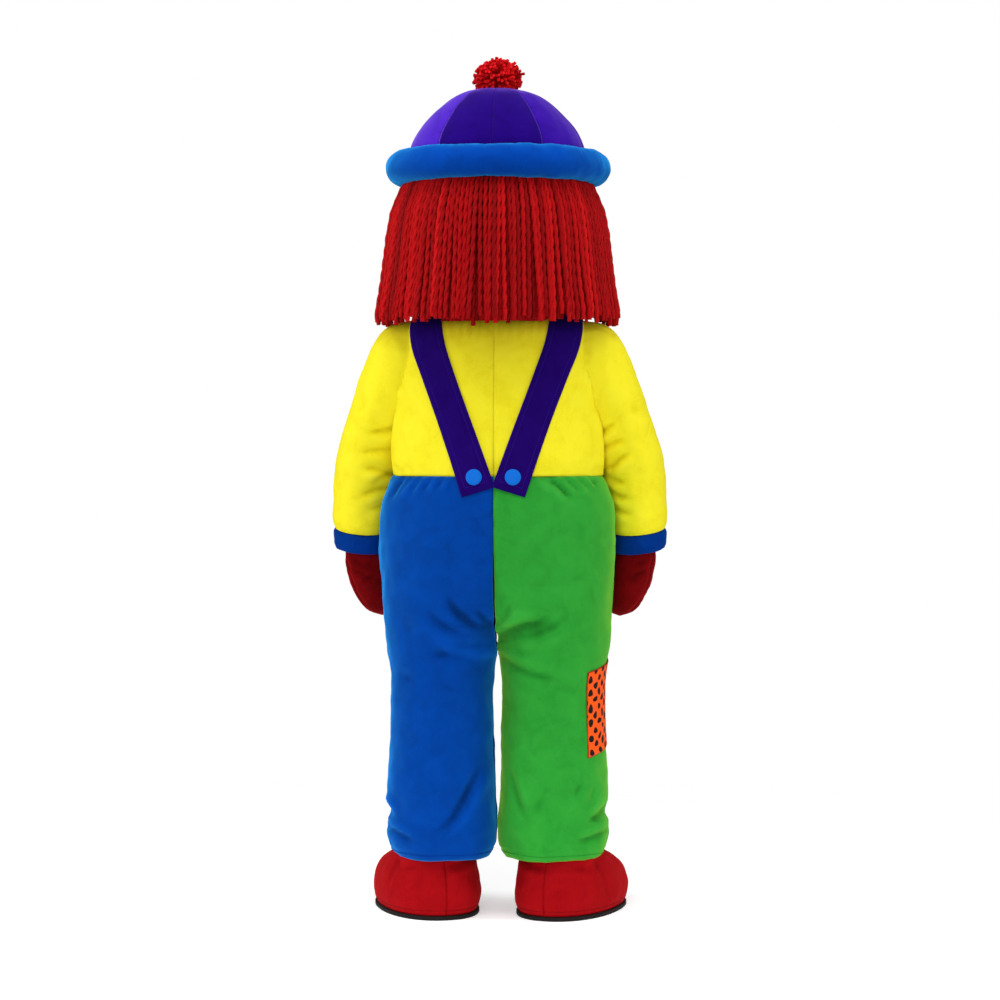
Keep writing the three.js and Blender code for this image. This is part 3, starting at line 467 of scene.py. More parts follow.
# Places just above a wall's surface, along rows and columns of its grid
def stitchLine(name, rowNumbers, columns):
    points, normals = surfaces[name]
    return points[rowNumbers, columns] + 0.5 * normals[rowNumbers, columns]


def dress(obj, node):
    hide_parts(node)
    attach(obj, "root")
    return obj


def spread(start, end, count):
    return np.linspace(start, end, count + 1)


def fullTurn(count):
    return np.linspace(0, 360, count, endpoint=False)


def grid(us, vs):
    return np.meshgrid(us, vs)


def mirrorPoints(points, side):
    return points * np.array([side, 1.0, 1.0])


sides = {"Right": 1, "Left": -1}

# Shared sizes. roundness is 2 for an ellipse and more for a squarer section.
roundness = 2.15
waistHeight = 1020
topHeight = 1420

# Yellow top
topSections = rows(
    "z halfWidth back front",
    (1020, 246, 183, 191), (1034, 247, 183, 194), (1070, 249, 185, 198), (1130, 248, 183, 197),
    (1190, 246, 180, 191), (1250, 244, 174, 181), (1305, 240, 163, 167), (1345, 231, 148, 151),
    (1378, 214, 128, 131), (1402, 179, 104, 107), (1415, 142, 87, 91), (1420, 120, 79, 83))
sleeveSections = rows(
    "s x y z turn width depth",
    (0, 201, 0, 1289, 2, 101, 95), (1, 224, 6, 1278, -31, 98, 96), (2, 249, 20, 1214, -60, 87, 93),
    (3, 284, 42, 1148, -70, 71, 87), (4, 307, 62, 1080, -76, 66, 82), (5, 321, 78, 1012, -80, 66, 81),
    (6, 328, 90, 952, -85, 66, 80), (7, 330, 97, 910, -89, 67, 79), (8, 330, 99, 890, -90, 63, 73))


def topAt(angle, z):
    return sectionPoint(readTable(topSections, "z", z), angle, roundness)


# Below 1 inside the top's outline, above 1 outside it
def topMeasure(points):
    row = readTable(topSections, "z", points[..., 2])
    depth = np.where(points[..., 1] < 0, row["back"], row["front"])
    across, deep = np.abs(points[..., 0]) / row["halfWidth"], np.abs(points[..., 1]) / depth
    return (across ** roundness + deep ** roundness) ** (1 / roundness)


# The forearm hangs a little forward and in, so its rings lean about their own centre
lean = {"forward": 0.16, "outward": 0.09, "from": 980, "over": 75, "hand": (800, 845)}


def leaned(points, centreX, centreY, height):
    rise = lean["forward"] * (points[..., 1] - centreY) + lean["outward"] * (points[..., 0] - centreX)
    share = smoothStep(0, 1, (lean["from"] - height) / lean["over"]) * smoothStep(*lean["hand"], height)
    points[..., 2] += share * rise
    return points


def sleeveAt(angle, s):
    row = readTable(sleeveSections, "s", s)
    c, d = cosine(angle) * row["width"], sine(angle) * row["depth"]
    points = stack(row["x"] - sine(row["turn"]) * c, row["y"] + d, row["z"] + cosine(row["turn"]) * c)
    return leaned(points, row["x"], row["y"], row["z"])


# Station where each line of the sleeve leaves the top
def armholeStations(angles):
    low, high = np.zeros_like(angles), np.full_like(angles, 3.2)
    for _ in range(40):
        middle = (low + high) / 2
        inside = topMeasure(sleeveAt(angles, middle)) < 1.001
        low, high = np.where(inside, middle, low), np.where(inside, high, middle)
    return high


armholeAngles = fullTurn(720)
armhole = sleeveAt(armholeAngles, armholeStations(armholeAngles))


# True where a point of the top lies under the sleeve on its side
def underSleeve(points):
    folded = np.abs(points[..., 0])
    best = np.full(points.shape[:-1], 9.0)
    for s in np.linspace(0, 3, 31):
        row = readTable(sleeveSections, "s", s)
        x, z = folded - row["x"], points[..., 2] - row["z"]
        along = x * cosine(row["turn"]) + z * sine(row["turn"])
        c = (-x * sine(row["turn"]) + z * cosine(row["turn"])) / row["width"]
        d = (points[..., 1] - row["y"]) / row["depth"]
        measure = np.where(np.abs(along) < 9, np.hypot(c, d), 9.0)
        best = np.minimum(best, measure)
    return (best < 1) & (folded > 190)


# Creases of the back as seen, each with its path, depth, width, ridge and whether it is open
topCreasesBack = [
    ([(-230, 1242), (-222, 1214), (-212, 1186)], -4.5, 10, 0.3, False),
    ([(-184, 1242), (-198, 1180), (-210, 1121)], 3.0, 20, 0.4, False),
    ([(-233, 1038), (-217, 1022)], 3.5, 7, 0.6, True),
    ([(-276, 1252), (-247, 1196), (-242, 1144)], 4.0, 9, -0.6, True),
    ([(279, 1304), (262, 1242), (252, 1200)], 4.5, 9, 0.6, True),
    ([(256, 1245), (239, 1206), (236, 1160)], 4.0, 8, 0.6, True),
    ([(238, 1035), (222, 1024)], 3.0, 7, -0.6, True),
    ([(205, 1105), (150, 1088), (80, 1080)], 2.0, 18, 0.5, False),
    ([(-215, 1085), (-150, 1068), (-90, 1064)], 1.8, 16, 0.5, False),
]
# Short gathers of the back under the wig, uneven in place and length
for i, x in enumerate((-98, -77, -55, -34, -12, 15, 37, 60, 82, 103)):
    reach = 30 + 14 * abs(math.sin(i * 2.3))
    gather = [(x, 1396), (x * 0.97, 1368), (x * 0.94 + 4 * math.sin(i * 1.7), 1368 - reach)]
    topCreasesBack.append((gather, 3.4, 5.5, 0.6, True))
topCreasesFront = mirrorCreases(topCreasesBack) + [
    ([(-150, 1150), (-60, 1120), (40, 1128)], 2.2, 22, 0.5, False),
]


# The back strap's middle line, as a share of its rise to the shoulder
strapPath = {"backX": 34.0, "frontX": 112.0, "endZ": 984.0, "topX": 182.0, "topZ": 1406.0, "inward": 20.0}


def strapMiddle(endX, rise):
    inward = strapPath["inward"] * np.maximum((rise - 0.74) / 0.26, 0) ** 2
    return endX + (strapPath["topX"] - endX) * rise - inward


# Distance of a place on the back or front from the middle of the strap over it
def strapCorridor(x, z, face):
    rise = np.clip((z - strapPath["endZ"]) / (strapPath["topZ"] - strapPath["endZ"]), 0, 1)
    return np.abs(np.abs(x) - strapMiddle(strapPath["backX" if face < 0 else "frontX"], rise))


def topRelief(points, face):
    x, y, z = points[..., 0], points[..., 1], points[..., 2]
    share = smoothStep(0, 40, face * y)
    creases = creaseRelief(x, z, topCreasesBack if face < 0 else topCreasesFront) * share
    soft = 1.6 * lumps(points, 110, 3) + 0.5 * lumps(points, 34, 4)
    clear = smoothStep(35, 58, strapCorridor(x, z, face))
    # The second value is the creases' painted shade and light, weaker on the yellow top
    return (creases + soft) * clear - 0.2 * (1 - clear), 0.45 * creases * clear


def topPanel(name, start, end, face, flat):
    columns = max(int(abs(end - start) / 180 * 700 / 6.2), 8)
    angles, levels = grid(spread(start, end, columns), spread(waistHeight, topHeight, 66))
    points = topAt(angles, levels)
    hidden = underSleeve(points)
    cut = np.concatenate([armhole, mirrorPoints(armhole, -1)])
    relief, folds = topRelief(points, face)
    obj = clothWall(name, points, yellowVelboa, 3.0, sewn="low start end", relief=relief,
                    folds=folds, hidden=hidden, cut=cut, dip=1.0)
    return dress(obj, flat[0])


topPanel("topBackRight", -90, 0, -1, ("top_back_right", (0.31, 0.43)))
topPanel("topBackLeft", 180, 270, -1, ("top_back_left", (0.31, 0.43)))
topPanel("topFront", 0, 180, 1, ("top_front", (0.62, 0.43)))
print("top done")

# Sleeves, one piece each, from the armhole seam to the cuff
sleeveCreases = {
    -1: [
        ([(-247, 1128), (-280, 1122), (-315, 1121)], 4.5, 9, 0.6, True),
        ([(-250, 1081), (-295, 1078), (-336, 1068)], 4.0, 9, 0.6, True),
        ([(-256, 1025), (-295, 1036), (-329, 1035)], 5.0, 9, 0.6, True),
        ([(-263, 1019), (-285, 1008), (-303, 990)], 3.5, 8, -0.6, True),
        ([(-266, 990), (-300, 982), (-336, 966)], 5.0, 9, 0.6, True),
        ([(-273, 946), (-295, 942), (-315, 934)], 3.5, 8, 0.6, True),
        ([(-300, 1210), (-318, 1180), (-326, 1150)], 2.5, 14, 0.5, False),
    ],
    1: [
        ([(242, 1121), (269, 1140), (290, 1143)], 5.0, 9, -0.6, True),
        ([(249, 1088), (282, 1101), (310, 1100)], 4.5, 9, -0.6, True),
        ([(269, 1041), (298, 1068), (325, 1072)], 5.0, 9, -0.6, True),
        ([(258, 1023), (284, 1006), (310, 996)], 5.0, 9, -0.6, True),
        ([(269, 983), (291, 969), (320, 962)], 5.5, 9, -0.6, True),
        ([(275, 943), (301, 930), (325, 926)], 5.0, 9, -0.6, True),
        ([(305, 1200), (322, 1175), (330, 1145)], 2.5, 14, -0.5, False),
    ],
}


# The sleeve's head runs on straight inwards under the top's edge, so no slit opens at the armhole
sleeveTuck = {"stations": 0.5, "reachPerStation": 36}


def addSleeve(word, side):
    stations = spread(-sleeveTuck["stations"], 8, 110)
    angles, stations = grid(fullTurn(94), stations)
    points = sleeveAt(angles, np.maximum(stations, 0))
    points[..., 0] += sleeveTuck["reachPerStation"] * np.minimum(stations, 0)
    points = mirrorPoints(points, side)
    inside = (topMeasure(points) < 0.9) & (stations < 4)
    x, y, z = points[..., 0], points[..., 1], points[..., 2]
    middle = readTable(sleeveSections, "z", z)["y"]
    back, front = smoothStep(-15, 25, middle - y), smoothStep(-15, 25, y - middle)
    folds = 1.2 * back * creaseRelief(x, z, sleeveCreases[side])
    folds += 1.1 * front * creaseRelief(x, z, mirrorCreases(sleeveCreases[-side], dz=6))
    relief = folds + 1.4 * lumps(points, 80, 11 + side) + 0.5 * lumps(points, 28, 15 + side)
    relief *= smoothStep(0, 14, z - 896)
    relief += 13 * hump(angles - 180, 52) * hump(z - 1008, 62)
    relief += 7.5 * hump(np.minimum(angles, 360 - angles), 75) * hump(z - 1070, 110)
    obj = clothWall(f"sleeve{word}", points, yellowVelboa, 3.0, closed=True, sewn="high",
                    relief=relief, folds=folds, hidden=inside, cut=mirrorPoints(armhole, side),
                    snap=False, dip=1.2)
    dress(obj, f"sleeve_{word.lower()}")


for word, side in sides.items():
    addSleeve(word, side)

# Cuffs, a folded band that stands a little proud of the sleeve's end
cuffSections = rows("z width depth", (889.5, 64, 74), (874, 66.5, 77), (856, 66, 76), (845, 62, 71.5))
cuffCentre = {"x": 330, "y": 99, "leanFrom": 905}


def addCuff(word, side):
    angles, levels = grid(fullTurn(100), spread(889.5, 845, 14))
    row = readTable(cuffSections, "z", levels)
    x, y = cuffCentre["x"], cuffCentre["y"]
    points = stack(x + row["width"] * cosine(angles), y + row["depth"] * sine(angles), levels)
    points = mirrorPoints(leaned(points, x, y, cuffCentre["leanFrom"]), side)
    relief = 0.9 * lumps(points, 40, 21 + side) + 0.4 * lumps(points, 14, 23 + side, (1, 1, 0.3))
    obj = clothWall(f"cuff{word}", points, cuffVelboa, 5.0, closed=True, sewn="low", relief=relief)
    dress(obj, f"cuff_{word.lower()}")


for word, side in sides.items():
    addCuff(word, side)

# Mittens: two halves sewn round the edge, and a thumb on the hidden side
mittenSections = rows(
    "z x y turn width depth",
    (886, 330, 99, 0, 58, 69), (870, 328, 100, 8, 52, 60), (846, 325, 104, 22, 45, 49),
    (809, 311, 119, 38, 64, 49), (761, 300, 130, 40, 64, 46), (722, 291, 136, 40, 50, 37),
    (699, 287, 139, 40, 29, 22), (690, 285, 140, 40, 2, 2))
thumbSections = rows("s radius", (0, 24), (30, 25), (55, 22), (70, 14), (77, 2))
thumbStart = np.array([272.0, 153.0, 812.0])
thumbAim = unit(np.array([-0.3, 0.42, -0.86]))
thumbAcross = unit(np.cross((0, 1, 0), thumbAim))
thumbUp = np.cross(thumbAim, thumbAcross)


def mittenAt(angle, z):
    row = readTable(mittenSections, "z", z)
    w, d = row["width"] * cosine(angle), row["depth"] * sine(angle)
    c, s = cosine(row["turn"]), sine(row["turn"])
    points = stack(row["x"] + w * c + d * s, row["y"] - w * s + d * c, z)
    return leaned(points, row["x"], row["y"], z)


def thumbAt(angle, s):
    radius = readTable(thumbSections, "s", s)["radius"][..., None]
    c, d = cosine(angle)[..., None], sine(angle)[..., None]
    return thumbStart + thumbAim * s[..., None] + radius * (thumbAcross * c + thumbUp * d)


mittenCreases = [
    ([(341, 792), (328, 788), (313, 787)], 4.0, 7, 0.6, True),
    ([(332, 772), (304, 779), (285, 786)], 4.0, 8, 0.6, False),
    ([(345, 818), (330, 812), (318, 812)], 3.0, 6, 0.5, True),
]


def addMitten(word, side):
    levels = np.concatenate([spread(886, 713, 40), [706, 700, 695, 692, 690]])
    for half, start in (("palm", 180), ("back", 0)):
        angles, heights = grid(spread(start, start + 180, 30), levels)
        points = mirrorPoints(mittenAt(angles, heights), side)
        relief = 1.2 * lumps(points, 50, 31 + side + start) + 0.5 * lumps(points, 18, 33 + start)
        folds = creaseRelief(side * points[..., 0], points[..., 2], mittenCreases) * (half == "palm")
        relief = (relief + folds) * smoothStep(0, 30, points[..., 2] - 690)
        obj = clothWall(f"mitten{half.title()}{word}", points, mittenVelboa, 3.0, sewn="start end",
                        relief=relief, folds=folds)
        dress(obj, f"mitten_{half}_{word.lower()}")
    angles, along = grid(fullTurn(30), spread(12, 76, 16))
    points = mirrorPoints(thumbAt(angles, along), side)
    obj = clothWall(f"thumb{word}", points, mittenVelboa, 3.0, closed=True, pole=True,
                    relief=0.5 * lumps(points, 25, 37 + side))
    dress(obj, f"thumb_{word.lower()}")


for word, side in sides.items():
    addMitten(word, side)
print("sleeves and mittens done")

# Trousers: four panels, blue on the left and green on the right
legSections = rows(
    "z centre halfWidth back front",
    (1020, 0, 246, 183, 191), (1003, 0, 254, 189, 198), (975, 4, 261, 196, 204),
    (940, 12, 261, 200, 208), (895, 28, 247, 201, 209), (845, 48, 228, 199, 206),
    (795, 70, 204, 194, 200), (738, 95, 175, 185, 188), (682, 116, 150, 171, 171),
    (648, 125, 138, 160, 159), (620, 130, 130, 151, 149), (545, 130, 120.5, 135, 133),
    (465, 130, 121, 128, 128), (375, 131.5, 123, 128, 128), (295, 132, 128, 131, 131),
    (243, 128.5, 125, 127, 127), (205, 131, 129.5, 131, 131), (168, 129, 126.5, 127, 127),
    (148, 129, 119, 120, 120), (137, 129, 110, 111, 111))


def legAt(face, f, z):
    row = readTable(legSections, "z", z)
    ratio = np.clip(row["centre"] / row["halfWidth"], 0, 1)
    innerAngle = 180 - np.degrees(np.arccos(ratio ** (roundness / 2)))
    return sectionPoint(row, face * innerAngle * (1 - f), roundness)


blueCreases = [
    ([(-10, 676), (-52, 690), (-91, 718), (-118, 772)], 7.0, 13, 0.6, True),
    ([(-10, 656), (-83, 668), (-146, 708), (-176, 745)], 6.0, 14, 0.6, True),
    ([(-10, 690), (-28, 706), (-46, 728)], 5.0, 8, 0.6, True),
    ([(-184, 644), (-212, 690), (-228, 735)], 2.4, 18, 0.5, False),
    ([(-12, 640), (-70, 636), (-130, 655)], 5.0, 12, 0.6, True),
    ([(-157, 626), (-83, 615), (-22, 595)], 5.0, 12, 0.5, False),
    ([(-239, 568), (-205, 562), (-172, 557)], 3.0, 16, 0.5, False),
    ([(-18, 386), (-44, 339), (-83, 254), (-118, 215), (-153, 204), (-184, 207)], 6.0, 11, 0.6, False),
    ([(-258, 208), (-212, 192), (-173, 173)], 5.0, 9, 0.5, True),
    ([(-262, 250), (-248, 234), (-232, 222)], 4.0, 10, 0.5, True),
    ([(-258, 289), (-244, 266), (-230, 242)], -4.0, 10, 0.4, False),
    ([(-217, 1013), (-236, 986), (-242, 962)], 5.0, 7, 0.7, True),
    ([(-196, 1015), (-217, 990), (-235, 962)], 4.5, 7, 0.7, True),
    ([(-173, 1015), (-190, 992), (-200, 975)], 4.0, 7, 0.7, True),
    ([(-146, 1015), (-158, 998), (-167, 982)], 4.0, 7, 0.7, True),
    ([(-118, 1015), (-128, 998), (-134, 985)], 3.5, 7, 0.7, True),
    ([(-92, 1015), (-96, 1000), (-100, 990)], 2.0, 7, 0.7, True),
]
greenCreases = [
    ([(4, 690), (30, 712), (48, 748)], 4.0, 10, -0.6, True),
    ([(8, 664), (70, 688), (103, 690), (140, 728)], 6.0, 13, 0.6, True),
    ([(12, 650), (90, 660), (150, 690), (196, 745)], 4.5, 14, -0.5, True),
    ([(10, 640), (60, 622), (120, 640)], 4.0, 12, 0.5, True),
    ([(10, 611), (48, 584), (126, 564), (184, 560)], 4.0, 12, 0.6, True),
    ([(29, 370), (41, 312), (68, 239), (91, 207)], 4.0, 10, 0.6, False),
    ([(87, 335), (116, 308), (146, 285)], 2.5, 12, 0.5, False),
    ([(205, 330), (190, 300), (182, 270)], 3.0, 9, 0.6, False),
    ([(232, 318), (226, 292), (222, 262)], 3.0, 8, 0.6, False),
    ([(255, 252), (236, 236), (206, 230)], 5.0, 10, -0.6, True),
    ([(255, 200), (214, 188), (170, 186)], 4.5, 9, -0.5, True),
    ([(120, 300), (90, 250), (60, 225)], 2.5, 14, 0.5, False),
    ([(111, 1016), (130, 1001), (142, 985)], 4.5, 7, -0.7, True),
    ([(130, 1018), (160, 985), (188, 959)], 6.5, 8, -0.7, True),
    ([(160, 1018), (184, 997), (207, 974)], 5.5, 7, -0.7, True),
    ([(188, 1018), (215, 994), (227, 974)], 5.0, 7, -0.7, True),
    ([(215, 1018), (228, 1006), (239, 992)], 4.5, 7, -0.7, True),
    ([(86, 1016), (92, 1003), (97, 992)], 2.5, 7, -0.7, True),
]

# The front hems are cut higher, over the shoes' insteps
hemLift = 13

# Place of the patch on the right leg: degrees round it, heights, and how far its front end is higher
patchSize = {"rear": -50.0, "front": 48.0, "low": 376.0, "high": 576.0, "rise": 40.0, "legX": 130}


def patchTilt(angle):
    return patchSize["rise"] * (angle - patchSize["rear"]) / (patchSize["front"] - patchSize["rear"])


# How much a place on the right leg lies under the patch, which keeps the cloth flat
def patchCover(x, y, z):
    wrap = np.degrees(np.arctan2(y, x - patchSize["legX"]))
    level = z - patchTilt(wrap)
    middleLevel, halfHeight = (patchSize["low"] + patchSize["high"]) / 2, 95
    middleAngle, halfAngle = (patchSize["rear"] + patchSize["front"]) / 2, 46
    cover = hump(np.maximum(np.abs(level - middleLevel) - halfHeight, 0), 22)
    return cover * hump(np.maximum(np.abs(wrap - middleAngle) - halfAngle, 0), 8)


def legRelief(points, side, face):
    x, y, z = points[..., 0], points[..., 1], points[..., 2]
    own, other = (blueCreases, greenCreases) if side < 0 else (greenCreases, blueCreases)
    creases = own if face < 0 else mirrorCreases(other, dz=-4)
    share = smoothStep(-10, 35, face * y)
    folds = 1.35 * share * creaseRelief(x, z, creases) * smoothStep(1021, 1005, z)
    soft = 2.2 * lumps(points, 120, 41 + side + face) + 0.8 * lumps(points, 40, 47 + side, (1, 1, 1.6))
    clear = np.where(z > 970, smoothStep(38, 56, strapCorridor(x, z, face)), 1)
    free = clear * (1 - (patchCover(x, y, z) if side > 0 else 0))
    inner = smoothStep(110, 30, np.abs(x)) * (1.5 * hump(z - 205, 20) + 3 * hump(z - 243, 30))
    return (folds + soft) * free + inner, folds * free


def addLegPanel(word, side, face, material):
    part = "back" if face < 0 else "front"
    levels = np.concatenate([spread(waistHeight, 168, 122), spread(168, 137, 7)[1:]])
    f, z = grid(spread(0, 1, 66), levels)
    points = mirrorPoints(legAt(face, f, z), side)
    points[..., 0] = side * np.maximum(side * points[..., 0], seam["gap"] / 2)
    relief, folds = legRelief(points, side, face)
    if face > 0:
        nearHem = smoothStep(230, 137, z) * smoothStep(0, 120, points[..., 1])
        points[..., 2] += hemLift * nearHem
    hem = 1.3 * hump(z - 154.7, 3.5)
    points[..., 0] = side * np.maximum(side * points[..., 0], seam["gap"] / 2)
    obj = clothWall(f"leg{part.title()}{word}", points, material, 3.0, sewn="low start end",
                    relief=relief - hem, folds=folds)
    for vertex in obj.data.vertices:
        if vertex.co.x * side < seam["gap"] / 2 * mm:
            vertex.co.x = side * seam["gap"] / 2 * mm
    hemRow = len(levels) - 4
    hemLines[side].append(stitchLine(obj.name, np.full(67, hemRow), np.arange(67)))
    dress(obj, f"leg_{part}_{word.lower()}")


hemLines = {-1: [], 1: []}
for word, side, material, slot in (("Left", -1, blueVelboa, "plush_blue"),
                                   ("Right", 1, greenVelboa, "plush_green")):
    for face in (-1, 1):
        addLegPanel(word, side, face, material)
print("trousers done")

# Straps: a sewn band each, from the back waist over the shoulder to the front waist
strapHalfWidth = 35.5
strapLift = 4.3
strapRun = 480
shoulderEdge = 238


# Depth of the cloth's surface behind or in front of a place on the plane (x, z)
def torsoDepth(x, z, face):
    top, leg = readTable(topSections, "z", z), readTable(legSections, "z", z)
    above = z >= waistHeight
    halfWidth = np.where(above, top["halfWidth"], leg["halfWidth"])
    depth = np.where(above, top["back" if face < 0 else "front"], leg["back" if face < 0 else "front"])
    across = np.minimum(np.abs(x - np.where(above, 0, leg["centre"])) / halfWidth, 1)
    return face * depth * (1 - across ** roundness) ** (1 / roundness)


# The strap bridges the hollow of the waist seam instead of following it
def strapDepth(x, z, face):
    low, high = 978, 1062
    own, share = torsoDepth(x, z, face), (z - low) / (high - low)
    edgeLow = torsoDepth(x, np.full_like(z, low), face)
    across = edgeLow * (1 - share) + torsoDepth(x, np.full_like(z, high), face) * share
    bridged = face * np.maximum(face * own, face * across)
    return np.where((z <= low) | (z >= high), own, bridged)


# Height of the shoulder's ridge at a distance from the middle
def ridgeHeight(x):
    low, high = np.full_like(x, 1200), np.full_like(x, topHeight)
    for _ in range(30):
        middle = (low + high) / 2
        wide = readTable(topSections, "z", middle)["halfWidth"] > x
        low, high = np.where(wide, middle, low), np.where(wide, high, middle)
    return low


# Point of the right strap: s is 0 at its back end, 1 on the shoulder and 2 at its front end
def strapAt(lane, s):
    back = s < 1
    endX = np.where(back, strapPath["backX"], strapPath["frontX"])
    along = 1 - np.abs(1 - s)
    rise = np.sin(along * math.pi / 2)
    slope = np.arctan2(strapPath["topX"] - endX, strapPath["topZ"] - strapPath["endZ"])
    spreadOut = lane / np.cos(slope * (1 - smoothStep(0.75, 1, along)))
    x = np.maximum(strapMiddle(endX, rise) + spreadOut, 0.8)
    low = strapPath["endZ"] - lane * np.sin(slope) * (1 - rise)
    z = low + (ridgeHeight(np.minimum(x, shoulderEdge)) - low) * rise
    y = np.where(back, strapDepth(x, z, -1), strapDepth(x, z, 1))
    return stack(x, y, z)


def addStrap(word, side):
    lanes, stations = grid(spread(-strapHalfWidth, strapHalfWidth, 18), spread(0, 2, 250))
    points = mirrorPoints(strapAt(lanes, stations), side)
    edge = strapHalfWidth - np.abs(lanes)
    end = np.minimum(stations, 2 - stations) * strapRun
    stitched = -0.9 * hump(edge - 11.8, 2.2) - 0.9 * hump(end - 11.5, 2.2) * (edge > 11)
    rolled = -1.0 * hump(edge, 3.0) - 1.0 * hump(end, 3.0)
    relief = strapLift + stitched + rolled + 0.45 * lumps(points, 30, 51 + side) - 0.2
    obj = clothWall(f"strap{word}", points, strapVelboa, 3.2, relief=relief)
    dress(obj, f"strap_{word.lower()}")
    return surfaces[obj.name][0]


strapGrids = [addStrap(word, side) for word, side in sides.items()]

# Buttons: cast domes with a soft rim, sewn through the straps
buttonRadius = 18.5
buttonLift = 4.6


def addButton(name, x, z, face):
    step = 8.0
    spots = [strapDepth(np.array(a, float), np.array(b, float), face)
             for a, b in ((x, z), (x + step, z), (x - step, z), (x, z + step), (x, z - step))]
    slopeX, slopeZ = (spots[1] - spots[2]) / (2 * step), (spots[3] - spots[4]) / (2 * step)
    aim = unit(np.array([-face * slopeX, face, -face * slopeZ]))
    across = unit(np.cross(aim, (0.0, 0.0, 1.0)))
    up = np.cross(across, aim)
    centre = np.array([x, spots[0], z]) + aim * buttonLift
    profile = [(0.0, 7.0), (4, 6.9), (8, 6.5), (12, 5.8), (15, 4.9), (17, 3.9), (18.1, 2.7),
               (buttonRadius, 1.2), (18.4, -0.6), (17.5, -1.5), (0, -1.5)]
    radius, height = np.array(profile).T
    turns, rings = grid(fullTurn(48), np.arange(len(profile)))
    wide, tall = radius[rings][..., None], height[rings][..., None]
    points = centre + aim * tall + wide * (across * cosine(turns)[..., None] + up * sine(turns)[..., None])
    faces = gridFaces(len(profile), 48, True, 1)
    return meshObject(name, points.reshape(-1, 3), faces, buttonPlastic)


for node, x, z, face in (("button_back_right", 44, 1018, -1), ("button_back_left", -44, 1018, -1),
                         ("button_front_right", 116, 1012, 1), ("button_front_left", -116, 1012, 1)):
    words = node.split("_")
    button = addButton("button" + words[1].title() + words[2].title(), x, z, face)
    dress(button, node)

# Patch: printed satin, orange with black spots in staggered rows, a bound edge
patchSatin, patchTree = newMaterial("orangeSpottedSatin")
patchPlace = addNode(patchTree, "ShaderNodeUVMap", uv_map="cloth").outputs["UV"]
patchWander = addNode(patchTree, "ShaderNodeTexNoise", {"Vector": patchPlace, "Scale": 45.0, "Detail": 0.0})
patchUneven = addNode(patchTree, "ShaderNodeVectorMath", {
    0: patchWander.outputs["Color"], 1: (0.011, 0.015, 0.0), 2: patchPlace}, operation="MULTIPLY_ADD")
patchSplit = addNode(patchTree, "ShaderNodeSeparateXYZ", {"Vector": patchUneven.outputs[0]})
spotPitch = 0.034


# Distance to the middle of the nearest spot of one square lattice; shift moves it by half a pitch
def spotDistance(tree, split, shift):
    cells = []
    for axis in "XY":
        moved = addNode(tree, "ShaderNodeMath", {0: split.outputs[axis], 1: shift * spotPitch / 2},
                        operation="ADD")
        cell = addNode(tree, "ShaderNodeMath", {0: moved.outputs[0], 1: spotPitch},
                       operation="FLOORED_MODULO")
        cells.append(addNode(tree, "ShaderNodeMath", {0: cell.outputs[0], 1: spotPitch / 2},
                             operation="SUBTRACT").outputs[0])
    both = addNode(tree, "ShaderNodeCombineXYZ", {"X": cells[0], "Y": cells[1]})
    return addNode(tree, "ShaderNodeVectorMath", {0: both.outputs[0]}, operation="LENGTH")


spotNear = addNode(patchTree, "ShaderNodeMath", {
    0: spotDistance(patchTree, patchSplit, 0).outputs["Value"],
    1: spotDistance(patchTree, patchSplit, 1).outputs["Value"]}, operation="MINIMUM")
spotShare = addNode(patchTree, "ShaderNodeMapRange", {
    "Value": spotNear.outputs[0], "From Min": 0.0074, "From Max": 0.0083})
edgeShare = addNode(patchTree, "ShaderNodeAttribute", attribute_name="edge")
spotColour = addRamp(patchTree, spotShare.outputs[0], (0.0, "#1c0f0c"), (1.0, "#ff5a10"))
boundColour = addNode(patchTree, "ShaderNodeMix", {
    0: edgeShare.outputs["Fac"], 6: spotColour, 7: linear("#8a2208")}, data_type="RGBA")
finishMaterial(patchTree, addNode(patchTree, "ShaderNodeBsdfPrincipled", {
    "Base Color": boundColour.outputs[2], "Roughness": 0.6, "Specular IOR Level": 0.12}))


def patchAt(angle, f):
    z = patchSize["low"] + (patchSize["high"] - patchSize["low"]) * f + patchTilt(angle)
    back = legAt(-1, 1 - np.abs(angle) / 180, z)
    front = legAt(1, 1 - np.abs(angle) / 180, z)
    return np.where((angle < 0)[..., None], back, front)


def addPatch():
    angles, shares = grid(spread(patchSize["rear"], patchSize["front"], 56), spread(0, 1, 50))
    points = patchAt(angles, shares)
    edge = edgeDistance(points, "low high start end")
    relief = 2.6 + 0.9 * hump(edge - 3, 3) - 1.2 * hump(edge, 1.6) + 0.5 * lumps(points, 40, 61)
    obj = clothWall("patchOrange", points, patchSatin, 1.8, relief=relief)
    layer = obj.data.uv_layers.new(name="cloth")
    across = np.cumsum(np.linalg.norm(np.diff(points, axis=1, prepend=points[:, :1]), axis=2), axis=1)
    along = np.cumsum(np.linalg.norm(np.diff(points, axis=0, prepend=points[:1]), axis=2), axis=0)
    flatUv = np.stack([across.ravel(), along.ravel()], axis=1) * mm
    for loop in obj.data.loops:
        layer.data[loop.index].uv = flatUv[loop.vertex_index]
    bound = obj.data.attributes.new("edge", "FLOAT", "POINT")
    bound.data.foreach_set("value", smoothStep(2.6, 1.6, edge).ravel())
    dress(obj, "patch")


addPatch()
print("straps, buttons and patch done")

# Shoe covers: two halves each, sewn at heel and toe, on a foam sole
shoeSections = rows(
    "z heel toe halfWidth",
    (10, 6, 392, 113), (38, 0, 400, 119), (74, 3, 390, 117), (106, 13, 352, 110),
    (127, 22, 296, 102), (150, 30, 230, 93), (190, 38, 196, 80))


shoePlace = {"x": 111, "y": -120, "toesOut": 18, "squareness": 2.2}


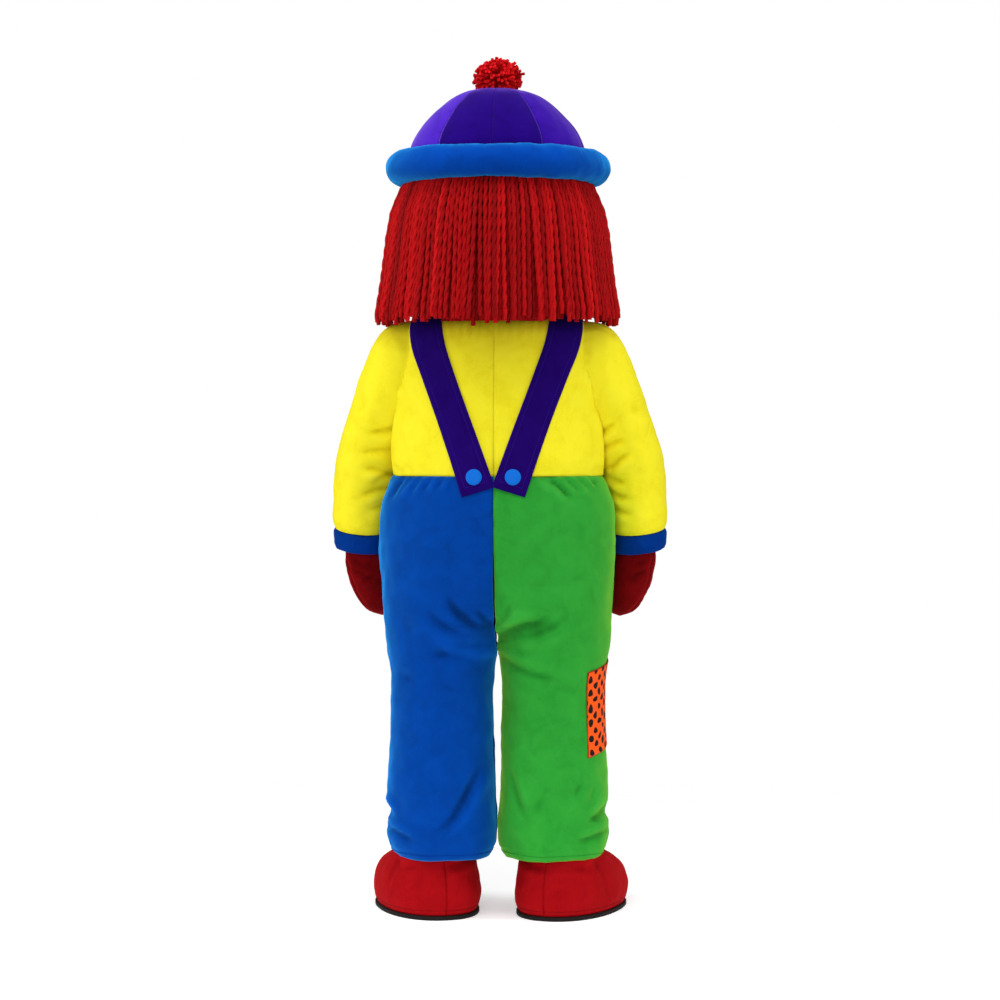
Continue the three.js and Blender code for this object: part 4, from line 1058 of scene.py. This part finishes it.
def shoeAt(angle, z):
    row = readTable(shoeSections, "z", z)
    power = 2 / shoePlace["squareness"]
    x = row["halfWidth"] * signedPower(cosine(angle), power)
    middle, halfLength = (row["heel"] + row["toe"]) / 2, (row["toe"] - row["heel"]) / 2
    y = middle + halfLength * signedPower(sine(angle), power)
    c, s = cosine(-shoePlace["toesOut"]), sine(-shoePlace["toesOut"])
    return stack(shoePlace["x"] + x * c - y * s, shoePlace["y"] + x * s + y * c, z)


shoeCreases = {
    -1: [([(-230, 128), (-245, 104), (-254, 82), (-255, 40)], 2.5, 9, 0.5, True),
         ([(-60, 132), (-90, 122), (-130, 126)], 3.0, 9, 0.5, True),
         ([(-236, 112), (-200, 118), (-168, 128)], 3.0, 8, 0.5, False)],
    1: [([(232, 126), (246, 104), (254, 82), (258, 44)], 2.5, 9, -0.5, True),
        ([(64, 130), (96, 120), (132, 126)], 3.0, 9, -0.5, True),
        ([(238, 110), (204, 118), (170, 128)], 3.0, 8, -0.5, False)],
}
shoeLines = {-1: [], 1: []}


def addShoe(word, side):
    for part, start in (("outer", -90), ("inner", 90)):
        angles, levels = grid(spread(start, start + 180, 96), spread(10, 190, 45))
        points = mirrorPoints(shoeAt(angles, levels), side)
        relief = 1.3 * lumps(points, 90, 171 + side + start) + 0.6 * lumps(points, 30, 73 + side)
        back = smoothStep(20, -60, points[..., 1])
        folds = 1.4 * back * creaseRelief(points[..., 0], points[..., 2], shoeCreases[side])
        rand = -1.0 * hump(levels - 22, 2.6)
        relief = (relief + folds) * smoothStep(10, 34, levels) + rand
        obj = clothWall(f"shoe{part.title()}{word}", points, redVelboa, 5.0, sewn="low start end",
                        relief=relief, folds=folds)
        shoeLines[side].append(stitchLine(obj.name, np.full(97, 3), np.arange(97)))
        dress(obj, f"shoe_{part}_{word.lower()}")
    angles, rings = grid(fullTurn(120), np.arange(7))
    height = np.array([0.0, 0.0, 1.2, 5, 8.4, 9.6, 9.7])[rings]
    outset = np.array([-3.0, 1.8, 3, 3, 3, 2.2, 0.5])[rings]
    base = mirrorPoints(shoeAt(angles, np.full(angles.shape, 10.0)), side)
    away = unit(base - base.mean(axis=(0, 1)))
    points = base + away * outset[..., None]
    points[..., 2] = height
    faces = gridFaces(7, 120, True, side)
    bottom = list(range(120))
    lid = list(range(6 * 120, 7 * 120))
    faces += [bottom[::-1], lid] if side > 0 else [bottom, lid[::-1]]
    obj = meshObject(f"sole{word}", points.reshape(-1, 3), faces, soleFoam)
    dress(obj, f"sole_{word.lower()}")


for word, side in sides.items():
    addShoe(word, side)
print("shoes done")

# Head: a padded shell under the wig, with a plain face panel and two nets to see through
headSections = rows(
    "z halfWidth back front",
    (1384, 160, 148, 150), (1405, 181, 170, 172), (1440, 209, 200, 203), (1490, 229, 223, 226),
    (1545, 233, 229, 233), (1600, 229, 226, 229), (1650, 213, 213, 216), (1690, 193, 193, 195),
    (1738, 179.4, 179.4, 179.4))
headBase, headTop = 1384, 1738
port = {"x": 72.0, "z": 1572.0, "halfWidth": 27.0, "halfHeight": 36.0}


def headAt(angle, z):
    return sectionPoint(readTable(headSections, "z", z), angle, 2)


# Lowest station of each line of the head that clears the shoulders and straps
def headStart(angles):
    start = np.full(angles.shape, float(headBase))
    for z in np.arange(headBase, 1446, 1.0):
        points = headAt(angles, np.full(angles.shape, z))
        inside = (topMeasure(points) < 1.004) & (z < topHeight)
        for strap in strapGrids:
            shoulder = strap[90:165].reshape(-1, 3)
            for i in np.flatnonzero(np.abs(points[:, 0]) > 100):
                gaps = np.linalg.norm((shoulder - points[i])[:, :2], axis=1)
                near = gaps < 6
                if near.any() and points[i, 2] < shoulder[near, 2].max() + 1.0:
                    inside[i] = True
        start = np.where(inside, z + 1, start)
    return start


# Below 1 inside the outline of the port that the wearer sees through
def portMeasure(points):
    x, z = np.abs(points[..., 0]) - port["x"], points[..., 2] - port["z"]
    return np.hypot(x / port["halfWidth"], z / port["halfHeight"])


portTurns = fullTurn(240)
portX = port["x"] + port["halfWidth"] * cosine(portTurns)
portZ = port["z"] + port["halfHeight"] * sine(portTurns)
portRow = readTable(headSections, "z", portZ)
portY = portRow["front"] * np.sqrt(1 - (portX / portRow["halfWidth"]) ** 2)
portEdge = stack(portX, portY, portZ)


def addHeadPanel(name, node, start, end, columns, levels, material, ports):
    around = spread(start, end, columns)
    low = headStart(around)
    f = spread(0, 1, levels)[:, None]
    points = headAt(np.broadcast_to(around, (levels + 1, columns + 1)), low + (headTop - low) * f)
    relief = 1.8 * lumps(points, 120, 81) + 0.5 * lumps(points, 40, 83)
    relief *= smoothStep(0, 25, headTop - points[..., 2]) * smoothStep(0, 12, points[..., 2] - low)
    hidden = cut = None
    if ports:
        hidden = (portMeasure(points) < 1) & (points[..., 1] > 0)
        cut = np.concatenate([portEdge, mirrorPoints(portEdge, -1)])
        relief *= smoothStep(1.0, 1.6, portMeasure(points))
    obj = clothWall(name, points, material, 6.0, sewn="start end", relief=relief, hidden=hidden,
                    cut=cut)
    dress(obj, node)


addHeadPanel("headFace", "head_face", 24, 156, 96, 66, paleVelboa,
             True)
addHeadPanel("headBack", "head_back", 156, 384, 112, 46, redVelboa,
             False)


def addNet(word, side):
    rings, turns = np.linspace(0.02, 0.985, 10), fullTurn(48)
    angles, shares = grid(turns, rings)
    x = port["x"] + port["halfWidth"] * shares * cosine(angles)
    z = port["z"] + port["halfHeight"] * shares * sine(angles)
    row = readTable(headSections, "z", z)
    y = row["front"] * np.sqrt(1 - (x / row["halfWidth"]) ** 2) - 1.7 - 1.5 * (1 - shares)
    points = mirrorPoints(stack(x, y, z), side)
    faces = gridFaces(10, 48, True, side) + [list(range(48))[::side]]
    obj = meshObject(f"visionNet{word}", points.reshape(-1, 3), faces, visionNet)
    thicken = obj.modifiers.new("cloth", "SOLIDIFY")
    thicken.thickness, thicken.offset = 1.6 * mm, -1.0 if side > 0 else 1.0
    dress(obj, f"vision_mesh_{word.lower()}")


for word, side in sides.items():
    addNet(word, side)

# Hat: a stuffed roll for the brim, and eight gores that meet under the pompom
crownSeams = [-128.5, -91, -57, -12, 35, 82, 130, 180]
crownSections = rows("s radius z", (0, 204, 1773.6), (1, 201, 1796), (2, 182, 1831), (3, 150, 1871),
                     (4, 103, 1908), (5, 52, 1925.5), (6, 13, 1930))


# The roll's ring and swell; it swells a little at the sides and has one seam, near the middle back
brimRing = {"radius": 224, "z": 1743, "swell": 38, "seamAt": -94, "around": 240, "section": 40}


def addBrim():
    columns, levels, radius = brimRing["around"], brimRing["section"], brimRing["radius"]
    around, section = grid(fullTurn(columns),
                           fullTurn(levels))
    swell = brimRing["swell"] + 2 * np.abs(cosine(around)) + 0.9 * sine(5 * around + 40)
    swell = swell + 0.5 * sine(13 * around)
    centre = stack(radius * cosine(around), radius * sine(around), brimRing["z"] + np.abs(cosine(around)))
    roll = stack(swell * cosine(section) * cosine(around), swell * cosine(section) * sine(around),
                 swell * sine(section))
    points = centre + roll
    rough = 0.9 * lumps(points, 46, 91) + 0.45 * lumps(points, 16, 92)
    seamAway = np.abs((around - brimRing["seamAt"] + 180) % 360 - 180) * math.pi / 180 * 260
    rough += -1.2 * hump(seamAway, 4) + 0.5 * hump(seamAway - 11, 7)
    points += unit(roll) * rough[..., None] - unit(roll) * 1.2
    a = np.arange(levels * columns).reshape(levels, columns)
    quads = np.stack([a, np.roll(a, -1, axis=1), np.roll(np.roll(a, -1, axis=0), -1, axis=1),
                      np.roll(a, -1, axis=0)], axis=-1).reshape(-1, 4)
    obj = meshObject("brimRoll", points.reshape(-1, 3), quads.tolist(), brimVelboa)
    dress(obj, "brim")


addBrim()

# Gores between the crown's seams. Two get paler copies of the violet: painted light on the crown's lit
# sides, partly also the pile lying another way.
gorePaintedLight = {2: violetPaintedLightRight, 7: violetPaintedLightLeft}
for i, start in enumerate(crownSeams):
    end = crownSeams[i + 1] if i + 1 < len(crownSeams) else crownSeams[0] + 360
    angles, along = grid(spread(start, end, max(int((end - start) / 1.6), 12)), spread(0, 5.97, 52))
    row = readTable(crownSections, "s", along)
    puff = 2 * np.sin(np.pi * (angles - start) / (end - start)) * np.minimum(row["radius"] / 100, 1)
    points = stack((row["radius"] + puff) * cosine(angles), (row["radius"] + puff) * sine(angles), row["z"])
    relief = 1.4 * lumps(points, 100, 95) + 0.5 * lumps(points, 36, 96)
    relief = relief * smoothStep(0, 0.8, along) * smoothStep(6, 5, along)
    # Each gore's violet, with the painted-light copy for two of them
    nap = gorePaintedLight.get(i, violetVelboa)
    gore = clothWall(f"crownGore{i + 1}", points, nap, 3.5, sewn="start end", relief=relief, dip=1.0)
    dress(gore, f"crown_gore_{i + 1}")
print("head and hat done")


# Acrylic yarn: two soft plies to a strand. It gives the eye deep red shadows between strands and
# small soft highlights along each ply.
def yarn(name, deep, body, bright):
    material, tree = newMaterial(name)
    place = addNode(tree, "ShaderNodeTexCoord").outputs["Object"]
    shade = addNode(tree, "ShaderNodeAttribute", attribute_name="shade")
    colour = addRamp(tree, shade.outputs["Fac"], (0.0, deep), (0.55, body), (1.0, bright))
    fibre = addNode(tree, "ShaderNodeTexNoise", {"Vector": place, "Scale": 1 / (1.6 * mm), "Detail": 2.0})
    bump = addNode(tree, "ShaderNodeBump", {
        "Height": fibre.outputs["Fac"], "Strength": 0.5, "Distance": 0.5 * mm})
    shader = addNode(tree, "ShaderNodeBsdfPrincipled", {
        "Base Color": colour, "Roughness": 0.75, "Specular IOR Level": 0.06, "Sheen Weight": 0.12,
        "Sheen Roughness": 0.5, "Sheen Tint": linear("#ff2828"), "Normal": bump.outputs["Normal"]})
    finishMaterial(tree, shader)
    return material


wigYarn = yarn("redAcrylicYarn", "#6c0306", "#a2080c", "#bd1013")
pompomYarn = yarn("redPompomYarn", "#8c0507", "#c60c12", "#dc1a1e")


# Lines of points as one mesh of edges, with a phase and a shade kept on each point
def lineMesh(name, lines, phases, shades):
    counts = [len(line) for line in lines]
    starts = np.cumsum([0] + counts[:-1])
    edges = [(start + i, start + i + 1) for start, count in zip(starts, counts) for i in range(count - 1)]
    mesh = bpy.data.meshes.new(name)
    mesh.from_pydata(settled(np.concatenate(lines)).tolist(), edges, [])
    for key, values in (("phase", phases), ("shade", shades)):
        layer = mesh.attributes.new(key, "FLOAT", "POINT")
        layer.data.foreach_set("value", np.repeat(values, counts).astype(np.float32))
    obj = bpy.data.objects.new(name, mesh)
    scene.collection.objects.link(obj)
    return obj


# A Geometry Nodes tree with its named inputs, and the outputs of the node that gives them
def newTree(name, inputs):
    tree = bpy.data.node_groups.new(name, "GeometryNodeTree")
    for label, kind in {"Geometry": "Geometry", **inputs}.items():
        tree.interface.new_socket(label, in_out="INPUT", socket_type=f"NodeSocket{kind}")
    tree.interface.new_socket("Geometry", in_out="OUTPUT", socket_type="NodeSocketGeometry")
    return tree, addNode(tree, "NodeGroupInput").outputs


def finishTree(tree, geometry, material):
    coloured = addNode(tree, "GeometryNodeSetMaterial", {"Geometry": geometry, "Material": material})
    addNode(tree, "NodeGroupOutput", {"Geometry": coloured.outputs["Geometry"]})
    return tree


# Each line becomes plies that twist round it, as yarn is spun
def yarnTree(name, plies):
    tree, given = newTree(name, {"Ply radius": "Float", "Ply offset": "Float", "Turn length": "Float",
                                 "Sides": "Int", "Yarn": "Material"})
    lines = addNode(tree, "GeometryNodeMeshToCurve", {"Mesh": given["Geometry"]}).outputs["Curve"]
    length = addNode(tree, "GeometryNodeSplineParameter").outputs["Length"]
    tangent = addNode(tree, "GeometryNodeInputTangent").outputs["Tangent"]
    phase = addNode(tree, "GeometryNodeInputNamedAttribute", {"Name": "phase"}, data_type="FLOAT")
    turns = addNode(tree, "ShaderNodeMath", {0: length, 1: given["Turn length"]}, operation="DIVIDE")
    twist = addNode(tree, "ShaderNodeMath", {
        0: turns.outputs[0], 1: 2 * math.pi, 2: phase.outputs["Attribute"]}, operation="MULTIPLY_ADD")
    side = addNode(tree, "ShaderNodeVectorMath", {0: tangent, 1: (0.31, 0.95, 0.05)},
                   operation="CROSS_PRODUCT")
    across = addNode(tree, "ShaderNodeVectorMath", {0: side.outputs[0]}, operation="NORMALIZE")
    around = addNode(tree, "ShaderNodeVectorRotate", {
        "Vector": across.outputs[0], "Axis": tangent, "Angle": twist.outputs[0]},
        rotation_type="AXIS_ANGLE")
    joined = addNode(tree, "GeometryNodeJoinGeometry")
    for ply in range(plies):
        share = given["Ply offset"]
        if ply:
            share = addNode(tree, "ShaderNodeMath", {0: share, 1: -1.0}, operation="MULTIPLY").outputs[0]
        shift = addNode(tree, "ShaderNodeVectorMath", {0: around.outputs[0], "Scale": share},
                        operation="SCALE")
        moved = addNode(tree, "GeometryNodeSetPosition", {"Geometry": lines, "Offset": shift.outputs[0]})
        ring = addNode(tree, "GeometryNodeCurvePrimitiveCircle", {
            "Resolution": given["Sides"], "Radius": given["Ply radius"]})
        tube = addNode(tree, "GeometryNodeCurveToMesh", {
            "Curve": moved.outputs["Geometry"], "Profile Curve": ring.outputs["Curve"], "Fill Caps": True})
        tree.links.new(tube.outputs["Mesh"], joined.inputs["Geometry"])
    whole = addNode(tree, "GeometryNodeRealizeInstances", {"Geometry": joined.outputs["Geometry"]})
    smooth = addNode(tree, "GeometryNodeSetShadeSmooth", {"Geometry": whole.outputs["Geometry"]})
    return finishTree(tree, smooth.outputs["Geometry"], given["Yarn"])


# Runs a tree on an object and keeps the result as a plain mesh
def bakeNodes(obj, tree, values):
    modifier = obj.modifiers.new("build", "NODES")
    modifier.node_group = tree
    sockets = {item.name: item.identifier for item in tree.interface.items_tree
               if item.item_type == "SOCKET" and item.in_out == "INPUT"}
    for label, value in values.items():
        modifier[sockets[label]] = value
    bpy.context.view_layer.update()
    made = bpy.data.meshes.new_from_object(obj.evaluated_get(bpy.context.evaluated_depsgraph_get()))
    obj.modifiers.clear()
    obj.data = made
    return obj


# Wig: strands hung side by side from under the brim, in an outer and an inner layer
wigLevels = np.array([1708, 1694, 1666, 1638, 1582, 1526, 1470, 1442, 1414, 1390, 1360])
wigRadii = np.array([215, 224, 236, 247, 257, 263, 270, 275, 280, 281, 281.0])
wigLook = {"top": 1704, "length": 330, "step": 5.6, "spread": 118, "plyRadius": 4.1, "plyOffset": 1.8,
           "turnLength": 58}
wigLayers = {"outer": (94, 0.0, 6, 5), "inner": (92, 12.5, 5, 6)}    # strands, mm inwards, sides, seed


# Each strand hangs down its own angle, leans to its neighbours in uneven clumps and ends freely
def wigLines(count, inward, seed):
    random = np.random.default_rng(seed)
    lines, phases, shades = [], [], []
    drift = random.uniform(0, 6.3, 3)
    for i in range(count):
        share = (i + 0.5) / count
        angle = -90 - wigLook["spread"] + 2 * wigLook["spread"] * share + random.uniform(-0.5, 0.5)
        bottom = 1378 + 9 * abs(cosine(angle)) + 8 * math.sin(i * 1.9 + inward) + random.uniform(-7, 7)
        z = np.arange(wigLook["top"], bottom, -wigLook["step"])
        fall = (wigLook["top"] - z) / wigLook["length"]
        radius = np.interp(z, wigLevels[::-1], wigRadii[::-1]) - inward
        clump = 6.5 * math.sin(i * 2 * math.pi / 5.3 + drift[0])
        clump += 4 * math.sin(i * 2 * math.pi / 2.7 + drift[1])
        wave = random.uniform(-2.5, 2.5) * np.sin(fall * 4 + random.uniform(0, 6.3)) * fall
        sway = clump * fall ** 1.5 + wave
        sway = sway + random.uniform(-4, 4) * fall ** 2
        radius = radius + 2.6 * math.sin(i * 1.7 + drift[2]) * fall + random.uniform(-1.5, 1.5)
        bow = radius + 1.2 * np.sin(fall * 7 + random.uniform(0, 6.3)) * fall
        turn = angle + np.degrees(sway / radius)
        lines.append(stack(bow * cosine(turn), bow * sine(turn), z))
        phases.append(random.uniform(0, 6.3))
        # Random tone for each strand; the inner layer's strands also get 0.25 less, painted shade behind
        # the outer layer
        shades.append(np.clip(0.55 + random.normal() * 0.22, 0, 1) - (0.25 if inward else 0))
    return lines, np.array(phases), np.clip(np.array(shades), 0, 1)


wigTree = yarnTree("two-ply yarn", 2)
for layer, (count, inward, sides, seed) in wigLayers.items():
    lines, phases, shades = wigLines(count, inward, seed)
    obj = lineMesh(f"wig{layer.title()}", lines, phases, shades)
    bakeNodes(obj, wigTree, {
        "Ply radius": wigLook["plyRadius"] * mm, "Ply offset": wigLook["plyOffset"] * mm,
        "Turn length": wigLook["turnLength"] * mm, "Sides": sides, "Yarn": wigYarn})
    dress(obj, "wig")

# Pompom: cut yarn ends on every side of a knot
pompomLook = {"strands": 330, "strandRadius": 3.6, "halfWidth": 57, "halfHeight": 46, "knotZ": 1953,
              "seed": 17}
pompomTree = yarnTree("cut yarn", 1)


def pompomLines(count):
    random = np.random.default_rng(pompomLook["seed"])
    lines, golden = [], math.pi * (3 - math.sqrt(5))
    for i in range(count):
        up = 1 - 1.62 * (i + 0.5) / count
        out, turn = math.sqrt(1 - up * up), i * golden + random.uniform(-0.1, 0.1)
        aim = np.array([math.cos(turn) * out, math.sin(turn) * out, up])
        aim = unit(aim + random.normal(size=3) * 0.07)
        wide = math.hypot(aim[0], aim[1]) / pompomLook["halfWidth"]
        tall = aim[2] / pompomLook["halfHeight"]
        reach = 1 / math.hypot(wide, tall) * random.uniform(0.92, 1.03)
        bend = random.normal(size=3) * 3.0
        t = np.linspace(0.25, 1, 6)[:, None]
        lines.append(np.array([0, 0, pompomLook["knotZ"]]) + aim * reach * t + bend * t ** 2)
    return lines, random.uniform(0, 6.3, count), np.clip(0.5 + random.normal(size=count) * 0.28, 0, 1)


pompom = lineMesh("pompomYarn", *pompomLines(pompomLook["strands"]))
bakeNodes(pompom, pompomTree, {
    "Ply radius": pompomLook["strandRadius"] * mm, "Ply offset": 0.0, "Turn length": 30 * mm,
    "Sides": 6, "Yarn": pompomYarn})
dress(pompom, "pompom")
print("wig and pompom done")


# Polyester sewing thread, with a fine twist in its colour and relief
def thread(name, dark, light):
    material, tree = newMaterial(name)
    fibre = addNode(tree, "ShaderNodeTexNoise", {
        "Vector": addNode(tree, "ShaderNodeTexCoord").outputs["Object"], "Scale": 1 / (0.8 * mm)})
    bump = addNode(tree, "ShaderNodeBump", {
        "Height": fibre.outputs["Fac"], "Strength": 0.3, "Distance": 0.2 * mm})
    finishMaterial(tree, addNode(tree, "ShaderNodeBsdfPrincipled", {
        "Base Color": addRamp(tree, fibre.outputs["Fac"], (0.3, dark), (0.7, light)),
        "Roughness": 0.65, "Specular IOR Level": 0.1, "Normal": bump.outputs["Normal"]}))
    return material


# One short stitch at each step along a line, turned to follow it
def stitchTree():
    tree, given = newTree("running stitch", {"Pitch": "Float", "Stitch length": "Float",
                                             "Thread radius": "Float", "Thread": "Material"})
    curve = addNode(tree, "GeometryNodeMeshToCurve", {"Mesh": given["Geometry"]}).outputs["Curve"]
    spots = addNode(tree, "GeometryNodeCurveToPoints", {"Curve": curve, "Length": given["Pitch"]},
                    mode="LENGTH")
    stitch = addNode(tree, "GeometryNodeMeshCylinder", {
        "Vertices": 5, "Side Segments": 1, "Radius": given["Thread radius"],
        "Depth": given["Stitch length"]}, fill_type="TRIANGLE_FAN")
    placed = addNode(tree, "GeometryNodeInstanceOnPoints", {
        "Points": spots.outputs["Points"], "Instance": stitch.outputs["Mesh"],
        "Rotation": addNode(tree, "FunctionNodeAlignRotationToVector", {
            "Vector": spots.outputs["Tangent"]}, axis="Z").outputs["Rotation"]})
    whole = addNode(tree, "GeometryNodeRealizeInstances", {"Geometry": placed.outputs["Instances"]})
    return finishTree(tree, whole.outputs["Geometry"], given["Thread"])


sewing = stitchTree()
stitchLook = {"pitch": 5.2, "share": 0.74, "threadRadius": 0.55}


def addStitches(name, node, line, material):
    obj = lineMesh(name, [line], np.zeros(1), np.zeros(1))
    pitch = stitchLook["pitch"]
    bakeNodes(obj, sewing, {
        "Pitch": pitch * mm, "Stitch length": stitchLook["share"] * pitch * mm,
        "Thread radius": stitchLook["threadRadius"] * mm, "Thread": material})
    dress(obj, node)


blueThread = thread("bluePolyesterThread", "#002a78", "#003c98")
greenThread = thread("greenPolyesterThread", "#1c7a26", "#2a9433")
violetThread = thread("violetPolyesterThread", "#2a0a86", "#3d18a4")
redThread = thread("redPolyesterThread", "#5a0306", "#7a060a")
for word, side, hemThread, slot in (("Left", -1, blueThread, "plush_blue"),
                                    ("Right", 1, greenThread, "plush_green")):
    for part, hemLine in zip(("back", "front"), hemLines[side]):
        addStitches(f"hemStitches{part.title()}{word}", f"leg_{part}_{word.lower()}",
                    hemLine, hemThread)
    for part, shoeLine in zip(("outer", "inner"), shoeLines[side]):
        addStitches(f"shoeStitches{part.title()}{word}", f"shoe_{part}_{word.lower()}",
                    shoeLine, redThread)
    # the strap's stitches run three rows or columns inside its edges, all the way round
    down = np.arange(3, 248)
    across = np.arange(3, 16)
    around = [(down, np.full(245, 3)), (np.full(13, 247), across),
              (down[::-1], np.full(245, 15)), (np.full(13, 3), across[::-1])]
    loop = np.concatenate([stitchLine(f"strap{word}", i, j) for i, j in around])
    addStitches(f"strapStitches{word}", f"strap_{word.lower()}", loop, violetThread)
print("stitches done")

# Room: a disc of white paper that fades into the white room, two tall softboxes at the sides, the
# left one brighter, a broad fill from the camera's side and a lamp above
room = {"floorRadius": 3.2, "floorSides": 96, "fadeFrom": 0.75, "fadeTo": 2.6, "floorGlow": 0.42,
        "wallLight": 0.32}
floorRing = np.arange(room["floorSides"]) * 2 * math.pi / room["floorSides"]
floorRim = [(room["floorRadius"] * math.cos(t), room["floorRadius"] * math.sin(t), 0.0) for t in floorRing]
floorMesh = bpy.data.meshes.new("studioFloor")
floorMesh.from_pydata(floorRim, [], [list(range(room["floorSides"]))])
floor = bpy.data.objects.new("studioFloor", floorMesh)
scene.collection.objects.link(floor)
paper, paperTree = newMaterial("whiteStudioPaper")
paperPlace = addNode(paperTree, "ShaderNodeTexCoord").outputs["Object"]
paperReach = addNode(paperTree, "ShaderNodeVectorMath", {0: paperPlace}, operation="LENGTH")
paperFade = addNode(paperTree, "ShaderNodeMapRange", {
    "Value": paperReach.outputs["Value"], "From Min": room["fadeFrom"],
    "From Max": room["fadeTo"]},
    interpolation_type="SMOOTHSTEP")
paperWhite = addNode(paperTree, "ShaderNodeBsdfPrincipled", {
    "Base Color": linear("#fafafa"), "Roughness": 0.9, "Specular IOR Level": 0.0,
    "Emission Color": linear("#ffffff"), "Emission Strength": room["floorGlow"]})
paperClear = addNode(paperTree, "ShaderNodeBsdfTransparent")
paperMix = addNode(paperTree, "ShaderNodeMixShader", {
    0: paperFade.outputs[0], 1: paperWhite.outputs[0], 2: paperClear.outputs[0]})
addNode(paperTree, "ShaderNodeOutputMaterial", {"Surface": paperMix.outputs[0]})
floorMesh.materials.append(paper)

world = bpy.data.worlds.new("studio")
scene.world = world
world.use_nodes = True
worldTree = world.node_tree
worldTree.nodes.clear()
seen = addNode(worldTree, "ShaderNodeBackground", {"Color": linear("#ffffff"), "Strength": 1.0})
lit = addNode(worldTree, "ShaderNodeBackground", {
    "Color": linear("#ffffff"), "Strength": room["wallLight"]})
lightPath = addNode(worldTree, "ShaderNodeLightPath")
worldMix = addNode(worldTree, "ShaderNodeMixShader", {
    0: lightPath.outputs["Is Camera Ray"], 1: lit.outputs[0], 2: seen.outputs[0]})
addNode(worldTree, "ShaderNodeOutputWorld", {"Surface": worldMix.outputs[0]})


def addSoftbox(name, place, aim, size, power):
    data = bpy.data.lights.new(name, "AREA")
    data.shape, data.size, data.size_y, data.energy = "RECTANGLE", size[0], size[1], power
    lamp = bpy.data.objects.new(name, data)
    lamp.location = place
    offset = [a - b for a, b in zip(aim, place)]
    yaw = math.atan2(offset[0], -offset[1])
    drop = math.atan2(math.hypot(offset[0], offset[1]), -offset[2])
    lamp.rotation_euler = (drop, 0, yaw + math.pi)
    scene.collection.objects.link(lamp)


# Each lamp's place, the point that it faces, its width and height in metres, and its watts
softboxes = {
    "leftSoftbox": ((-3.0, -0.4, 2.2), (0, 0, 1.2), (1.2, 2.2), 44),
    "rightSoftbox": ((3.0, -0.4, 2.2), (0, 0, 1.2), (1.2, 2.2), 34),
    "frontFill": ((-0.3, -5.6, 1.7), (0, 0, 1.3), (2.0, 1.6), 106),
    "topSoftbox": ((0, -1.1, 3.8), (0, 0, 0.6), (1.6, 1.6), 46),
}
for name, (place, aim, size, power) in softboxes.items():
    addSoftbox(name, place, aim, size, power)

# The camera stands behind the costume, a little to the wearer's right, just above the waist
view = {"lens": 98.5, "sensor": 36.0, "place": (0.335, -6.39, 1.13), "tilt": 88.571, "turn": 2.948}
cameraData = bpy.data.cameras.new("view")
cameraData.lens, cameraData.sensor_width = view["lens"], view["sensor"]
camera = bpy.data.objects.new("view", cameraData)
camera.location = view["place"]
camera.rotation_euler = (math.radians(view["tilt"]), 0, math.radians(view["turn"]))
scene.collection.objects.link(camera)
scene.camera = camera

faceCount = sum(len(obj.data.polygons) for obj in scene.objects if obj.type == "MESH")
print("faces before thickening", faceCount)
